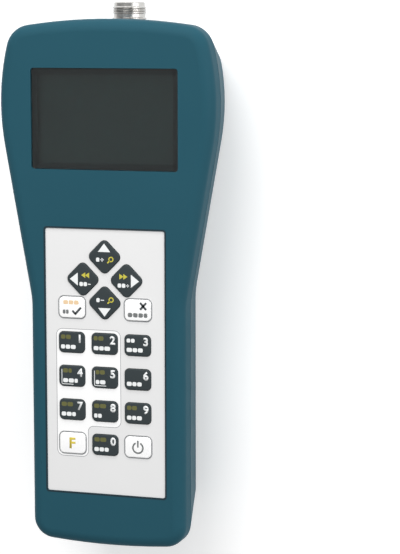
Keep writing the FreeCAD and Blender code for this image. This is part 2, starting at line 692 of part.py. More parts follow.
def make_front_cover():
    """The display-side moulding: a rounded dish with the window, keypad recess and bosses."""
    body = body_named("front_cover")
    outline = sketch_at(body, "front_outline", PARTING)
    add_true_outline(outline, "0")
    slab = pad(body, "front_slab", outline, "size.front_depth")
    doc.recompute()
    rim = edges_where(slab.Shape, lambda bounds: bounds.ZMin > number(FACE) - 0.01)
    rounded = dress("PartDesign::Fillet", body, "front_edge", slab, rim, "Radius", "size.front_roundover")
    doc.recompute()
    seam = edges_where(rounded.Shape, lambda bounds: bounds.ZMax < number(PARTING) + 0.01)
    dress("PartDesign::Chamfer", body, "front_seam", rounded, seam, "Size", "size.parting_chamfer")

    cavity = sketch_at(body, "front_cavity_outline", UNDER_FACE)
    add_true_outline(cavity, "size.wall")
    pocket(body, "front_cavity", cavity, f"{UNDER_FACE} - {PARTING}")
    rebate = sketch_at(body, "rebate_outline", f"{PARTING} + size.lip_height + size.lip_gap")
    add_true_outline(rebate, "size.wall - size.lip_thickness - size.lip_gap")
    pocket(body, "lip_rebate", rebate, "size.lip_height + size.lip_gap")

    glass_depth = "size.window_recess + size.window_thickness"
    window = sketch_at(body, "window_outline", FACE)
    add_rounded(
        window, "0", WINDOW_Y, "size.window_width / 2", "size.window_height / 2", "size.window_corner"
    )
    pocket(body, "window_pocket", window, glass_depth)
    view = sketch_at(body, "view_outline", FACE)
    half_width = "size.window_width / 2 - size.window_ledge"
    half_height = "size.window_height / 2 - size.window_ledge"
    add_rounded(view, "0", WINDOW_Y, half_width, half_height, "size.window_corner / 2")
    pocket(body, "view_opening", view, "size.front_wall + size.past")
    panel = sketch_at(body, "panel_outline", FACE)
    add_rounded(panel, "0", PANEL_Y, "size.panel_width / 2", "size.panel_height / 2", "size.panel_corner")
    pocket(body, "panel_recess", panel, "size.panel_recess + size.overlay_thickness")
    for name, x, y, turned in KEYS:
        well = sketch_at(body, f"{name}_well_outline", FACE)
        add_key_shape(well, x, y, turned, "size.key_gap")
        pocket(body, f"{name}_well", well, "size.front_wall + size.past")

    rib = sketch_at(body, "module_rib_outline", UNDER_FACE)
    inner_width = "size.module_width / 2 + size.module_gap"
    inner_height = "size.module_height / 2 + size.module_gap"
    add_rounded(rib, "0", WINDOW_Y, inner_width, inner_height, "size.window_corner")
    add_rounded(
        rib,
        "0",
        WINDOW_Y,
        f"{inner_width} + size.rib_thickness",
        f"{inner_height} + size.rib_thickness",
        "size.window_corner + size.rib_thickness",
    )
    pad(body, "module_rib", rib, "size.rib_depth", True)

    boss_low = f"{WELL_JOINT} + size.boss_gap"
    circles_pad(
        body, "case_bosses", CASE_SCREWS, "size.boss_radius", UNDER_FACE, f"{UNDER_FACE} - ({boss_low})", True
    )
    circles_pad(
        body, "board_posts", BOARD_POSTS, "size.post_radius", UNDER_FACE, f"{UNDER_FACE} - {BOARD_TOP}", True
    )
    case_pilot = "size.case_screw_radius + size.screw_gap"
    circles_pocket(
        body, "case_pilots", CASE_SCREWS, case_pilot, boss_low, "size.case_screw_length", True
    )
    board_pilot = "size.board_screw_radius + size.screw_gap"
    circles_pocket(
        body, "board_pilots", BOARD_POSTS, board_pilot, BOARD_TOP, "size.board_screw_length", True
    )
    notch = sketch_at(body, "socket_notch_outline", PARTING)
    notch_half = "size.usb_width / 2 + size.usb_margin"
    notch_low = PAST_FOOT
    notch_high = f"{FOOT} + size.wall + size.past"
    add_profile(
        notch,
        (
            (f"-({notch_half})", notch_low),
            (notch_half, notch_low),
            (notch_half, notch_high),
            (f"-({notch_half})", notch_high),
        ),
    )
    pocket(body, "socket_notch", notch, f"{BOARD_LOW} + size.usb_margin - {PARTING}", True)


def rear_form_body():
    """The rear cover as a solid: leaning walls, then a round edge lofted down to the flat back."""
    body = body_named("rear_form", keep=False)

    def section(name, height, inset):
        sketch = sketch_at(body, name, height)
        grown = f"size.rear_corner_growth * ({inset}) / {BACK_INSET}"
        add_outline(sketch, inset, f"size.corner_radius + {grown}", f"size.foot_corner_radius + {grown}")
        return sketch

    walls = [section("wall_top", PARTING, "0"), section("wall_foot", ROUND_TOP, ROUND_INSET)]
    loft(body, "leaning_wall", walls, True)
    rounds = []
    for index in range(ROUND_SECTIONS):
        angle = f"(size.rear_taper + (90 - size.rear_taper) * {index} / {ROUND_SECTIONS - 1})"
        height = f"size.rear_roundover * (1 - sin({angle}))"
        inset = f"({BACK_INSET} - size.rear_roundover * cos({angle}))"
        rounds.append(section(f"round_{index}", height, inset))
    loft(body, "round_edge", rounds, False)
    return body


def rear_cavity_body():
    """What the rear cover's hollow removes: leaning sides and a shallow floor pocket."""
    body = body_named("rear_cavity", keep=False)
    step_top = "(size.wall + size.cavity_step)"
    sections = []
    for name, height in (("cavity_top", PARTING), ("cavity_low", step_top)):
        lean = f"(({PARTING} - {height}) * tan(size.rear_taper))"
        sketch = sketch_at(body, name, height)
        corner = f"size.cavity_corner_radius - {lean}"
        add_outline(sketch, f"size.wall + {lean}", corner, corner)
        sections.append(sketch)
    loft(body, "cavity_sides", sections, True)
    floor = sketch_at(body, "cavity_floor", step_top)
    add_outline(floor, "size.cavity_floor_inset", "size.wall", "size.wall")
    pad(body, "cavity_pocket", floor, "size.cavity_step", True)
    return body


def lip_body():
    """The locating lip that stands on the rear cover's rim."""
    body = body_named("lip", keep=False)
    outline = sketch_at(body, "lip_outline", f"{PARTING} - size.past")
    add_true_outline(outline, "size.wall - size.lip_thickness")
    add_true_outline(outline, "size.wall")
    pad(body, "lip_ring", outline, "size.lip_height + size.past")
    return body


def make_rear_cover(form, cavity):
    """The back moulding: shell, screw wells, board posts, socket collar and battery bay."""
    shell = cut("rear_shell", form, cavity)
    bay_half = "size.bay_width / 2"
    bay_out = f"{bay_half} + size.bay_side"
    blocks = [
        box("bay_block", bay_out, TURN_UP, f"{DOOR_TOP} + size.bay_end", "0", BAY_ROOF),
        box("end_block", bay_out, FOOT, BAY_LOW, "0", "size.door_turn_up + size.door_gap + size.bay_ceiling"),
    ]
    well_radius = "size.well_radius + size.well_wall"
    for index, (x, y) in enumerate(CASE_SCREWS):
        blocks.append(rod(f"well_{index}", x, y, well_radius, "0", WELL_JOINT))
    for index, (x, y) in enumerate(RF_POSTS):
        blocks.append(rod(f"rf_post_{index}", x, y, "size.post_radius", "0", RF_LOW))
    inside = common("rear_inside", [form, fuse("rear_blocks", blocks)])
    collar_foot = f"{SEAT} - size.seat_thickness - size.collar_length"
    collar = bar("socket_collar", "size.seat_radius", collar_foot, SEAT)
    solid = fuse("rear_solid", [shell, inside, collar, lip_body()])

    slot_half = "size.tab_width / 2 + size.door_gap"
    tools = [
        bar("collar_face", "size.seat_radius", SEAT, f"{TIP} + size.past"),
        bar(
            "collar_inside",
            "size.flange_radius + size.flange_space",
            f"{SEAT} - size.socket_space",
            f"{SEAT} - size.seat_thickness",
        ),
        bar(
            "socket_hole",
            "size.thread_radius + size.thread_gap",
            f"{SEAT} - size.socket_hole_length",
            f"{SEAT} + size.past",
        ),
        box("bay_space", bay_half, BAY_LOW, BAY_TOP, "-size.past", "size.bay_height"),
        box(
            "door_space",
            bay_half,
            PAST_FOOT,
            f"{DOOR_TOP} + size.door_gap",
            "-size.past",
            "size.wall + size.rail_gap",
        ),
        box(
            "rail_passage",
            bay_half,
            PAST_FOOT,
            BAY_LOW,
            "-size.past",
            "size.rail_height + size.rail_thickness + size.rail_gap",
        ),
        box("turn_up_space", bay_half, PAST_FOOT, TURN_UP, "-size.past", "size.door_turn_up + size.door_gap"),
        box(
            "rail_space",
            f"{DOOR_HALF} + size.rail_reach + size.door_gap",
            PAST_FOOT,
            BAY_TOP,
            "size.rail_height - size.rail_gap",
            "size.rail_height + size.rail_thickness + size.rail_gap",
        ),
        box(
            "lead_slot_a",
            slot_half,
            f"{BAY_TOP} - size.lead_slot",
            BAY_TOP,
            "0",
            f"{BAY_ROOF} + size.past",
            "-size.cell_pitch",
        ),
        box(
            "lead_slot_b",
            slot_half,
            BAY_LOW,
            f"{BAY_LOW} + size.lead_slot",
            "0",
            f"{BAY_ROOF} + size.past",
            "size.cell_pitch",
        ),
        box(
            "data_cut_out",
            "size.usb_width / 2 + size.usb_margin",
            PAST_FOOT,
            f"{FOOT} + size.usb_above_foot + size.usb_length",
            f"{BOARD_LOW} - size.usb_height - size.usb_margin",
            f"{PARTING} + size.lip_height + size.past",
        ),
    ]
    for side, mark in zip(LEFT_RIGHT, ("left", "right")):
        tools.append(
            box(
                f"latch_space_{mark}",
                "size.latch_width / 2 + size.door_gap",
                BAY_LOW,
                f"{DOOR_TOP} + size.latch_reach + size.door_gap",
                "size.wall",
                "size.wall + size.latch_thickness + 3 * size.rail_gap",
                f"{side} * size.cell_pitch / 2",
            )
        )
    for index, (x, y) in enumerate(CASE_SCREWS):
        tools.append(rod(f"well_bore_{index}", x, y, "size.well_radius", "-size.past", WELL_TOP))
        clear = "size.case_screw_radius + size.case_hole_gap"
        hole_low = f"{WELL_TOP} - size.past"
        hole_high = f"{WELL_JOINT} + size.past"
        tools.append(rod(f"well_hole_{index}", x, y, clear, hole_low, hole_high))
    for index, (x, y) in enumerate(RF_POSTS):
        pilot = "size.board_screw_radius + size.screw_gap"
        pilot_low = f"{RF_LOW} - size.board_screw_length"
        tools.append(rod(f"rf_pilot_{index}", x, y, pilot, pilot_low, f"{RF_LOW} + size.past"))
    keep(cut("rear_cover", solid, fuse("rear_tools", tools)))


def make_battery_door(form, cavity):
    """The sliding door: a plate with the back's own curve, rails, latch and finger grooves."""
    end_high = f"{TURN_UP} - size.door_gap"
    blocks = [
        box("door_plate", DOOR_HALF, PAST_FOOT, DOOR_TOP, "-size.past", "size.wall"),
        box("door_end", DOOR_HALF, PAST_FOOT, end_high, "-size.past", "size.door_turn_up"),
    ]
    plate = cut("door_skin", common("door_form", [form, fuse("door_blocks", blocks)]), cavity)
    rail_low = f"{BAY_LOW} + size.rail_end_gap"
    rail_high = f"{BAY_TOP} - size.rail_end_gap"
    rail_top = "size.rail_height + size.rail_thickness"
    root_foot = "size.wall - size.rail_bite"
    pieces = [plate]
    for side in LEFT_RIGHT:
        mark = "left" if side < 0 else "right"
        root_x = f"{side} * ({DOOR_HALF} - size.rail_root / 2)"
        flange_half = "(size.rail_root + size.rail_reach) / 2"
        flange_x = f"{side} * ({DOOR_HALF} - size.rail_root + {flange_half})"
        pieces.append(
            box(f"rail_root_{mark}", "size.rail_root / 2", rail_low, rail_high, root_foot, rail_top, root_x)
        )
        pieces.append(
            box(f"rail_{mark}", flange_half, rail_low, rail_high, "size.rail_height", rail_top, flange_x)
        )
        latch_top = "size.wall + size.rail_gap + size.latch_thickness"
        latch_low = f"{DOOR_TOP} - 2 * size.door_ledge"
        latch_half = "size.latch_width / 2"
        latch_x = f"{side} * size.cell_pitch / 2"
        root_high = f"{DOOR_TOP} - size.rail_gap"
        pieces.append(
            box(f"latch_root_{mark}", latch_half, latch_low, root_high, root_foot, latch_top, latch_x)
        )
        latch_tip = f"{DOOR_TOP} + size.latch_reach"
        latch_under = "size.wall + size.rail_gap"
        pieces.append(box(f"latch_{mark}", latch_half, latch_low, latch_tip, latch_under, latch_top, latch_x))
    grooves = []
    for index in range(GRIP_GROOVES):
        groove_y = f"({DOOR_TOP} - size.grip_from_end - {index} * size.grip_pitch)"
        grooves.append(
            box(
                f"grip_{index}",
                "size.grip_width / 2",
                f"{groove_y} - size.grip_groove",
                groove_y,
                "-size.past",
                "size.grip_depth",
            )
        )
    keep(cut("battery_door", fuse("door_solid", pieces), fuse("grip_grooves", grooves)))


def make_display():
    """The glass, the foam frame, the display module and its flat cable."""
    pane = body_named("display_window")
    outline = sketch_at(pane, "pane_outline", f"{FACE} - size.window_recess - size.window_thickness")
    half_width = "size.window_width / 2 - size.pane_gap"
    half_height = "size.window_height / 2 - size.pane_gap"
    add_rounded(outline, "0", WINDOW_Y, half_width, half_height, "size.window_corner - size.pane_gap")
    pad(pane, "pane", outline, "size.window_thickness")

    gasket = body_named("display_gasket")
    frame = sketch_at(gasket, "gasket_outline", MODULE_TOP)
    inner_width = "size.window_width / 2 - size.window_ledge"
    inner_height = "size.window_height / 2 - size.window_ledge"
    add_rounded(frame, "0", WINDOW_Y, inner_width, inner_height, "size.window_corner / 2")
    outer_width = "size.module_width / 2 - size.window_corner"
    outer_height = "size.module_height / 2 - size.window_corner"
    add_rounded(frame, "0", WINDOW_Y, outer_width, outer_height, "size.window_corner")
    pad(gasket, "gasket", frame, "size.gasket_thickness")

    module = body_named("display_module")
    block = sketch_at(module, "module_outline", MODULE_LOW)
    module_half = "size.module_height / 2"
    add_rounded(block, "0", WINDOW_Y, "size.module_width / 2", module_half, "size.window_corner / 2")
    pad(module, "module_block", block, "size.module_thickness")
    glass = sketch_at(module, "module_glass_outline", MODULE_TOP)
    add_rounded(glass, "0", WINDOW_Y, inner_width, inner_height, "size.window_corner / 2")
    pocket(module, "module_glass", glass, "size.ribbon_thickness")

    ribbon = body_named("display_ribbon")
    module_edge = f"{WINDOW_Y} - {module_half}"
    profile = sketch_at(ribbon, "ribbon_profile", "-size.ribbon_width / 2", "YZ_Plane")
    thin = "size.ribbon_thickness"
    corners = (
        (module_edge, f"{MODULE_LOW} + size.ribbon_exit"),
        (f"{module_edge} - size.ribbon_run", BOARD_TOP),
        (f"{module_edge} - size.ribbon_reach", BOARD_TOP),
        (f"{module_edge} - size.ribbon_reach", f"{BOARD_TOP} + {thin}"),
        (f"{module_edge} - size.ribbon_run + {thin} / 2", f"{BOARD_TOP} + {thin}"),
        (module_edge, f"{MODULE_LOW} + size.ribbon_exit + {thin} * size.ribbon_slant"),
    )
    add_profile(profile, corners)
    pad(ribbon, "ribbon", profile, "size.ribbon_width")


def make_keypad():
    """The printed overlay with a hole for each key, the keys and the snap domes under them."""
    overlay = body_named("keypad_overlay")
    sheet_outline = sketch_at(overlay, "overlay_outline", f"{OVERLAY_TOP} - size.overlay_thickness")
    half_width = "size.panel_width / 2 - size.overlay_gap"
    half_height = "size.panel_height / 2 - size.overlay_gap"
    add_rounded(sheet_outline, "0", PANEL_Y, half_width, half_height, "size.panel_corner - size.overlay_gap")
    pad(overlay, "overlay_sheet", sheet_outline, "size.overlay_thickness")
    for name, x, y, turned in KEYS:
        opening = sketch_at(overlay, f"{name}_opening_outline", OVERLAY_TOP)
        add_key_shape(opening, x, y, turned, "size.key_gap")
        pocket(overlay, f"{name}_opening", opening, "size.overlay_thickness")

    flange_low = f"({FLANGE_TOP} - size.key_flange_thickness)"
    stem_low = f"({DOME_TOP} + size.key_travel + size.dome_gap)"
    for name, x, y, turned in KEYS:
        key = body_named(name)
        cap_outline = sketch_at(key, f"{name}_cap_outline", FLANGE_TOP)
        add_key_shape(cap_outline, x, y, turned, "0")
        pad(key, f"{name}_cap", cap_outline, f"{KEY_TOP} - {FLANGE_TOP}")
        flange_outline = sketch_at(key, f"{name}_flange_outline", FLANGE_TOP)
        if turned:
            add_key_shape(flange_outline, x, y, turned, "size.key_flange")
        else:
            half_width = "(size.key_width / 2 + size.key_flange)"
            half_height = "(size.key_height / 2 + size.key_flange)"
            add_profile(flange_outline, rectangle(x, y, half_width, half_height))
        pad(key, f"{name}_flange", flange_outline, "size.key_flange_thickness", True)
        stem_outline = sketch_at(key, f"{name}_stem_outline", flange_low)
        add_profile(stem_outline, rectangle(x, y, "size.key_stem / 2", "size.key_stem / 2"))
        pad(key, f"{name}_stem", stem_outline, f"{flange_low} - {stem_low}", True)

    domes = body_named("key_domes")
    feet = sketch_at(domes, "dome_feet", BOARD_TOP)
    for _, x, y, _ in KEYS:
        add_profile(feet, rectangle(x, y, "size.dome_side / 2", "size.dome_side / 2"))
    raised = pad(domes, "snap_domes", feet, "size.dome_height")
    raised.setExpression("TaperAngle", "-size.dome_slope")


def make_screws(name, places, seat, head_radius, cap, shank_radius, length):
    """Screws whose heads lie below the seat and whose shanks rise from it."""
    body = body_named(name)
    circles_pad(body, f"{name}_heads", places, head_radius, seat, cap, True)
    circles_pad(body, f"{name}_shanks", places, shank_radius, seat, length)


def make_main_board():
    """The long circuit board behind the keys, and what sits on its underside."""
    board = body_named("main_board")
    outline = sketch_at(board, "main_board_outline", BOARD_LOW)
    add_true_outline(outline, "size.board_inset")
    pad(board, "main_board_sheet", outline, "size.board_thickness")
    clearance = "size.boss_radius + size.door_gap"
    circles_pocket(board, "boss_holes", CASE_SCREWS, clearance, BOARD_TOP, "size.board_thickness")
    screw_hole = "size.board_screw_radius + size.case_hole_gap"
    circles_pocket(board, "post_holes", BOARD_POSTS, screw_hole, BOARD_TOP, "size.board_thickness")
    make_screws(
        "main_board_screws",
        BOARD_POSTS,
        BOARD_LOW,
        "size.board_screw_head",
        "size.board_screw_cap",
        "size.board_screw_radius",
        "size.board_screw_length",
    )

    def package(name, x, half_width, half_length, thickness):
        body = body_named(name)
        sketch = sketch_at(body, f"{name}_outline", BOARD_LOW)
        add_rounded(sketch, x, WINDOW_Y, half_width, half_length, "size.package_corner")
        pad(body, f"{name}_block", sketch, thickness, True)

    half_chip = "size.processor_side / 2"
    package("processor", "0", half_chip, half_chip, "size.processor_thickness")
    package(
        "radio_module",
        "size.parts_spread",
        "size.radio_width / 2",
        "size.radio_length / 2",
        "size.radio_thickness",
    )
    buzzer = body_named("buzzer")
    spot = [("-size.parts_spread", WINDOW_Y)]
    circles_pad(buzzer, "buzzer_can", spot, "size.buzzer_radius", BOARD_LOW, "size.buzzer_height", True)
    buzzer_face = f"{BOARD_LOW} - size.buzzer_height"
    circles_pocket(buzzer, "buzzer_hole", spot, "size.buzzer_hole", buzzer_face, "size.buzzer_hole", True)

    mouth = f"({FOOT} + size.usb_above_foot)"
    back = f"({mouth} + size.usb_length)"
    low = f"({BOARD_LOW} - size.usb_height)"
    half = "size.usb_width / 2"
    inner = f"{half} - size.usb_wall"
    shell = box("usb_shell", half, mouth, back, low, BOARD_LOW)
    roof = f"{BOARD_LOW} - size.usb_wall"
    hollow = box("usb_hollow", inner, mouth, f"{back} - size.usb_back", f"{low} + size.usb_wall", roof)
    middle = f"({BOARD_LOW} - size.usb_height / 2)"
    tongue = box(
        "usb_tongue_block",
        f"{inner} - size.usb_tongue_gap",
        f"{mouth} + size.usb_tongue_gap",
        f"{back} - size.usb_back / 2",
        f"{middle} - size.usb_tongue / 2",
        f"{middle} + size.usb_tongue / 2",
    )
    keep(fuse("usb_socket", [cut("usb_open", shell, hollow), tongue]))


def make_rf_section():
    """The measuring board with its shield, header and screws, and the threaded socket."""
    board = body_named("rf_board")
    outline = sketch_at(board, "rf_board_outline", RF_LOW)
    half_width = "size.rf_board_width / 2"
    add_rounded(outline, "0", RF_Y, half_width, "size.rf_board_length / 2", "size.rf_board_corner")
    pad(board, "rf_board_sheet", outline, "size.board_thickness")
    screw_hole = "size.board_screw_radius + size.case_hole_gap"
    circles_pocket(board, "rf_screw_holes", RF_POSTS, screw_hole, RF_TOP, "size.board_thickness")
    screws = body_named("rf_board_screws")
    circles_pad(screws, "rf_heads", RF_POSTS, "size.board_screw_head", RF_TOP, "size.board_screw_cap")
    circles_pad(
        screws, "rf_shanks", RF_POSTS, "size.board_screw_radius", RF_TOP, "size.board_screw_length", True
    )

    can_y = f"({RF_Y} + size.shield_offset)"
    half_width = "size.shield_width / 2"
    low = f"{can_y} - size.shield_length / 2"
    high = f"{can_y} + size.shield_length / 2"
    can_top = f"{RF_TOP} + size.shield_height"
    can = box("shield_block", half_width, low, high, RF_TOP, can_top)
    hollow = box(
        "shield_hollow",
        f"{half_width} - size.shield_wall",
        f"{low} + size.shield_wall",
        f"{high} - size.shield_wall",
        f"{RF_TOP} - size.past",
        f"{can_top} - size.shield_wall",
    )
    keep(cut("rf_shield", can, hollow))
    link_y = f"({RF_Y} - size.rf_board_length / 2 + size.link_depth)"
    link_half = "size.link_depth / 2"
    link_low = f"{link_y} - {link_half}"
    link_high = f"{link_y} + {link_half}"
    keep(box("board_link", "size.link_width / 2", link_low, link_high, RF_TOP, BOARD_LOW))

    flange_front = f"({SEAT} - size.seat_thickness)"
    flange_back = f"({flange_front} - size.flange_thickness)"
    barrel_back = f"({flange_back} - size.barrel_length)"
    shoulder = f"({TIP} - size.pilot_length)"
    thread_end = f"({shoulder} - size.thread_length)"
    relief_end = f"({thread_end} - size.relief_length)"
    mouth = f"({TIP} - size.mouth_depth)"
    jack = body_named("rf_jack")
    profile = sketch_at(jack, "jack_profile", "size.connector_height")
    corners = (
        ("size.mouth_radius", TIP),
        ("size.pilot_radius", TIP),
        ("size.pilot_radius", shoulder),
        ("size.thread_radius", shoulder),
        ("size.thread_radius", thread_end),
        ("size.relief_radius", thread_end),
        ("size.relief_radius", relief_end),
        ("size.thread_radius", relief_end),
        ("size.thread_radius", flange_front),
        ("size.flange_radius", flange_front),
        ("size.flange_radius", flange_back),
        ("size.barrel_radius", flange_back),
        ("size.barrel_radius", barrel_back),
        ("size.insulator_radius", barrel_back),
        ("size.insulator_radius", mouth),
        ("size.mouth_radius", mouth),
    )
    add_profile(profile, corners)
    revolution(jack, "jack_turned", profile)

    insulator = body_named("rf_insulator")
    ring = sketch_at(insulator, "insulator_profile", "size.connector_height")
    outer = "size.insulator_radius - size.insulator_gap"
    inner = "size.contact_radius + size.insulator_gap"
    corners = ((inner, mouth), (outer, mouth), (outer, barrel_back), (inner, barrel_back))
    add_profile(ring, corners)
    revolution(insulator, "insulator_turned", ring)

    contact = body_named("rf_contact")
    pin = sketch_at(contact, "contact_profile", "size.connector_height")
    nose = f"({TIP} - size.contact_recess)"
    hole_end = f"({nose} - size.contact_bore_depth)"
    tail = f"({barrel_back} - size.solder_pin_length)"
    corners = (
        ("0", hole_end),
        ("size.contact_bore", hole_end),
        ("size.contact_bore", nose),
        ("size.contact_radius", nose),
        ("size.contact_radius", barrel_back),
        ("size.solder_pin_radius", barrel_back),
        ("size.solder_pin_radius", tail),
        ("0", tail),
    )
    add_profile(pin, corners)
    revolution(contact, "contact_turned", pin)

    thread_clear = "size.thread_radius + size.nut_gap"
    washer_top = f"({SEAT} + size.washer_thickness)"
    disc = bar("washer_disc", "size.washer_radius", SEAT, washer_top)
    disc_hole = bar("washer_hole", thread_clear, f"{SEAT} - size.past", f"{washer_top} + size.past")
    keep(cut("rf_washer", disc, disc_hole))
    nut_top = f"({washer_top} + size.nut_thickness)"
    prism = doc.addObject("Part::Prism", "nut_prism")
    prism.Polygon = 6
    prism.Placement = Placement(Vector(0, 0, 0), Rotation(Vector(1, 0, 0), -90))
    prism.setExpression("Circumradius", "(size.thread_radius + size.nut_wall) / cos(30)")
    prism.setExpression("Height", "size.nut_thickness")
    place(prism, "0", washer_top, "size.connector_height")
    nut_hole = bar("nut_hole", thread_clear, f"{washer_top} - size.past", f"{nut_top} + size.past")
    keep(cut("rf_nut", prism, nut_hole))


def make_batteries():
    """Three penlight cells side by side, alternately turned, with contacts and leads."""
    cells_low = f"({BAY_LOW} + size.leaf_thickness + size.leaf_rise + size.cell_end_gap)"
    cells_high = f"({cells_low} + size.cell_length + size.cap_length)"
    for index, (column, upward) in enumerate(((-1, True), (0, False), (1, True)), start=1):
        x = f"{column} * size.cell_pitch"
        can_low = cells_low if upward else f"({cells_low} + size.cap_length)"
        can_high = f"({cells_high} - size.cap_length)" if upward else cells_high
        can = bar(f"cell_can_{index}", "size.cell_radius", can_low, can_high, CELL_Z, x)
        cap = bar(f"cell_cap_{index}", "size.cap_radius", cells_low, cells_high, CELL_Z, x)
        keep(fuse(f"battery_cell_{index}", [can, cap]))

    half_plate = "size.plate_width / 2"
    pair_half = "(size.cell_pitch + size.plate_width) / 2"
    plate_low = f"({CELL_Z} - size.plate_height / 2)"
    plate_high = f"({CELL_Z} + size.plate_height / 2)"
    tab_top = f"{BAY_ROOF} + size.tab_rise"
    tab_half = "size.tab_width / 2"
    far = (f"{BAY_TOP} - size.leaf_thickness - size.contact_gap", f"{BAY_TOP} - size.contact_gap")
    near = (f"{BAY_LOW} + size.contact_gap", f"{BAY_LOW} + size.contact_gap + size.leaf_thickness")
    single = box("plate_single", half_plate, *far, plate_low, plate_high, "-size.cell_pitch")
    tab = box("plate_tab", tab_half, *far, plate_low, tab_top, "-size.cell_pitch")
    pair = box("plate_pair", pair_half, *far, plate_low, plate_high, "size.cell_pitch / 2")
    keep(group("battery_plates", [fuse("plate_with_tab", [single, tab]), pair]))

    def bowed(name, x, half_width, with_tab):
        """A flat contact whose bowed leaf presses on the cell."""
        bow = "((size.leaf_half_chord ^ 2 + size.leaf_rise ^ 2) / (2 * size.leaf_rise))"
        outer = doc.addObject("Part::Cylinder", f"{name}_outer")
        inner = doc.addObject("Part::Cylinder", f"{name}_inner")
        for roll, radius, margin in ((outer, bow, "0"), (inner, f"{bow} - size.leaf_thickness", "1")):
            roll.Placement = Placement(Vector(0, 0, 0), Rotation(Vector(0, 1, 0), 90))
            roll.setExpression("Radius", radius)
            roll.setExpression("Height", f"2 * ({half_width} + {margin})")
            middle_y = f"{near[1]} + size.leaf_rise - {bow}"
            place(roll, f"{x} - {half_width} - {margin}", middle_y, CELL_Z)
        strip_high = f"{BAY_LOW} + size.leaf_rise + size.spring_reach"
        strip = box(f"{name}_strip", half_width, near[0], strip_high, plate_low, plate_high, x)
        arc = common(f"{name}_arc", [cut(f"{name}_ring", outer, inner), strip])
        pieces = [box(f"{name}_plate", half_width, *near, plate_low, plate_high, x), arc]
        if with_tab:
            pieces.append(box(f"{name}_tab", tab_half, *near, plate_low, tab_top, x))
        return fuse(name, pieces)

    spring_pair = bowed("spring_pair", "-size.cell_pitch / 2", pair_half, False)
    spring_single = bowed("spring_single", "size.cell_pitch", half_plate, True)
    keep(group("battery_springs", [spring_pair, spring_single]))
    lead_a = rod("lead_a", "-size.cell_pitch", far[0], "size.lead_radius", tab_top, BOARD_LOW)
    lead_b = rod("lead_b", "size.cell_pitch", near[1], "size.lead_radius", tab_top, BOARD_LOW)
    keep(group("battery_leads", [lead_a, lead_b]))


def export_nodes():
    """Stop on any failed object or bad shape, then write one file for each piece."""
    for item in doc.Objects:
        if any(state in item.State for state in ("Invalid", "Error")):
            raise RuntimeError(f"{item.Name} failed: {item.State}")
    for node in NODES:
        if node.Shape.isNull() or not node.Shape.Solids or not node.Shape.isValid():
            raise RuntimeError(f"{node.Name} has no valid solid")
    os.makedirs("parts", exist_ok=True)
    for node in NODES:
        node.Label = node.Name
        node.Shape.exportStep(f"parts/{node.Label}.step")
        print(f"{node.Label}: {len(node.Shape.Solids)} solid(s), {node.Shape.Volume:.1f} mm3")


make_front_cover()
rear_form = rear_form_body()
rear_cavity = rear_cavity_body()
make_rear_cover(rear_form, rear_cavity)
make_battery_door(rear_form, rear_cavity)
make_display()
make_keypad()
make_main_board()
make_rf_section()
make_screws(
    "case_screws",
    CASE_SCREWS,
    WELL_TOP,
    "size.case_screw_head",
    "size.case_screw_cap",
    "size.case_screw_radius",
    "size.case_screw_length",
)
make_batteries()
doc.recompute()
export_nodes()
print(f"{len(NODES)} pieces")
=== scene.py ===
"""Looks of a handheld antenna analyzer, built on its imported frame. Lengths are in metres."""

import json
import math

import bmesh
import bpy
from mathutils import Matrix, Vector

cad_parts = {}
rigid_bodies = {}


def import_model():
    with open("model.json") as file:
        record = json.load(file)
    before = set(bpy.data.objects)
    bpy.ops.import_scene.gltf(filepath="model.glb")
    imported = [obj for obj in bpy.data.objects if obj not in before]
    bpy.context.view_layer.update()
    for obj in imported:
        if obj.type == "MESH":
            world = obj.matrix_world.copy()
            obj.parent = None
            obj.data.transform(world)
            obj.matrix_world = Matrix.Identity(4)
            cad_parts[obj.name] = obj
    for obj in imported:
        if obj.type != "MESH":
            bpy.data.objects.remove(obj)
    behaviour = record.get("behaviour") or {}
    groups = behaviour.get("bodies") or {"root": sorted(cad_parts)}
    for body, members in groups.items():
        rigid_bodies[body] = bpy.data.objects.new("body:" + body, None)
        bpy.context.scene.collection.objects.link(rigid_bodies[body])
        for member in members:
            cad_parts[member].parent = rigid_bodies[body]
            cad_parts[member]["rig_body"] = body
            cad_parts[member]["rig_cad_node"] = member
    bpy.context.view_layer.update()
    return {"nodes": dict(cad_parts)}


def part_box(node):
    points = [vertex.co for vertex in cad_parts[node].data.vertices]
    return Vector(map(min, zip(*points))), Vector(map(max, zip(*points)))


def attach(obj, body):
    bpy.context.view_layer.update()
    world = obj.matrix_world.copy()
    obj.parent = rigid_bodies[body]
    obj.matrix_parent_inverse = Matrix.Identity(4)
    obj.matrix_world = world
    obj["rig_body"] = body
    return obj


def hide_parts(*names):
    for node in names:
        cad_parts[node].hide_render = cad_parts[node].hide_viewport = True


MM = 0.001

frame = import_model()

# The camera's place over the object, which lies on its back, and two axes of its view
CAMERA_PLACE = Vector((0.3133, 0.1176, 0.8931))
CAMERA_BACK = Vector((0.30156, 0.12939, 0.94463))
CAMERA_RIGHT = Vector((0.95267, -0.00085, -0.30401))
CAMERA_LENS = 128.51
CAMERA_NEAR = 0.05
CAMERA_FAR = 20

# Lamps, surround and floor
LAMP_TARGET = (0, 0, 0.03)
HEAD_TARGET = (0, 0.05, 0.03)
ROOM_STRENGTH = 0.47
FLOOR_GLOW = 0.32
FLOOR_SIZE = 6
FLOOR_DROP = 0.05 * MM
FLOOR_GREY = (0.9, 0.9, 0.9, 1)
WHITE = (1, 1, 1, 1)

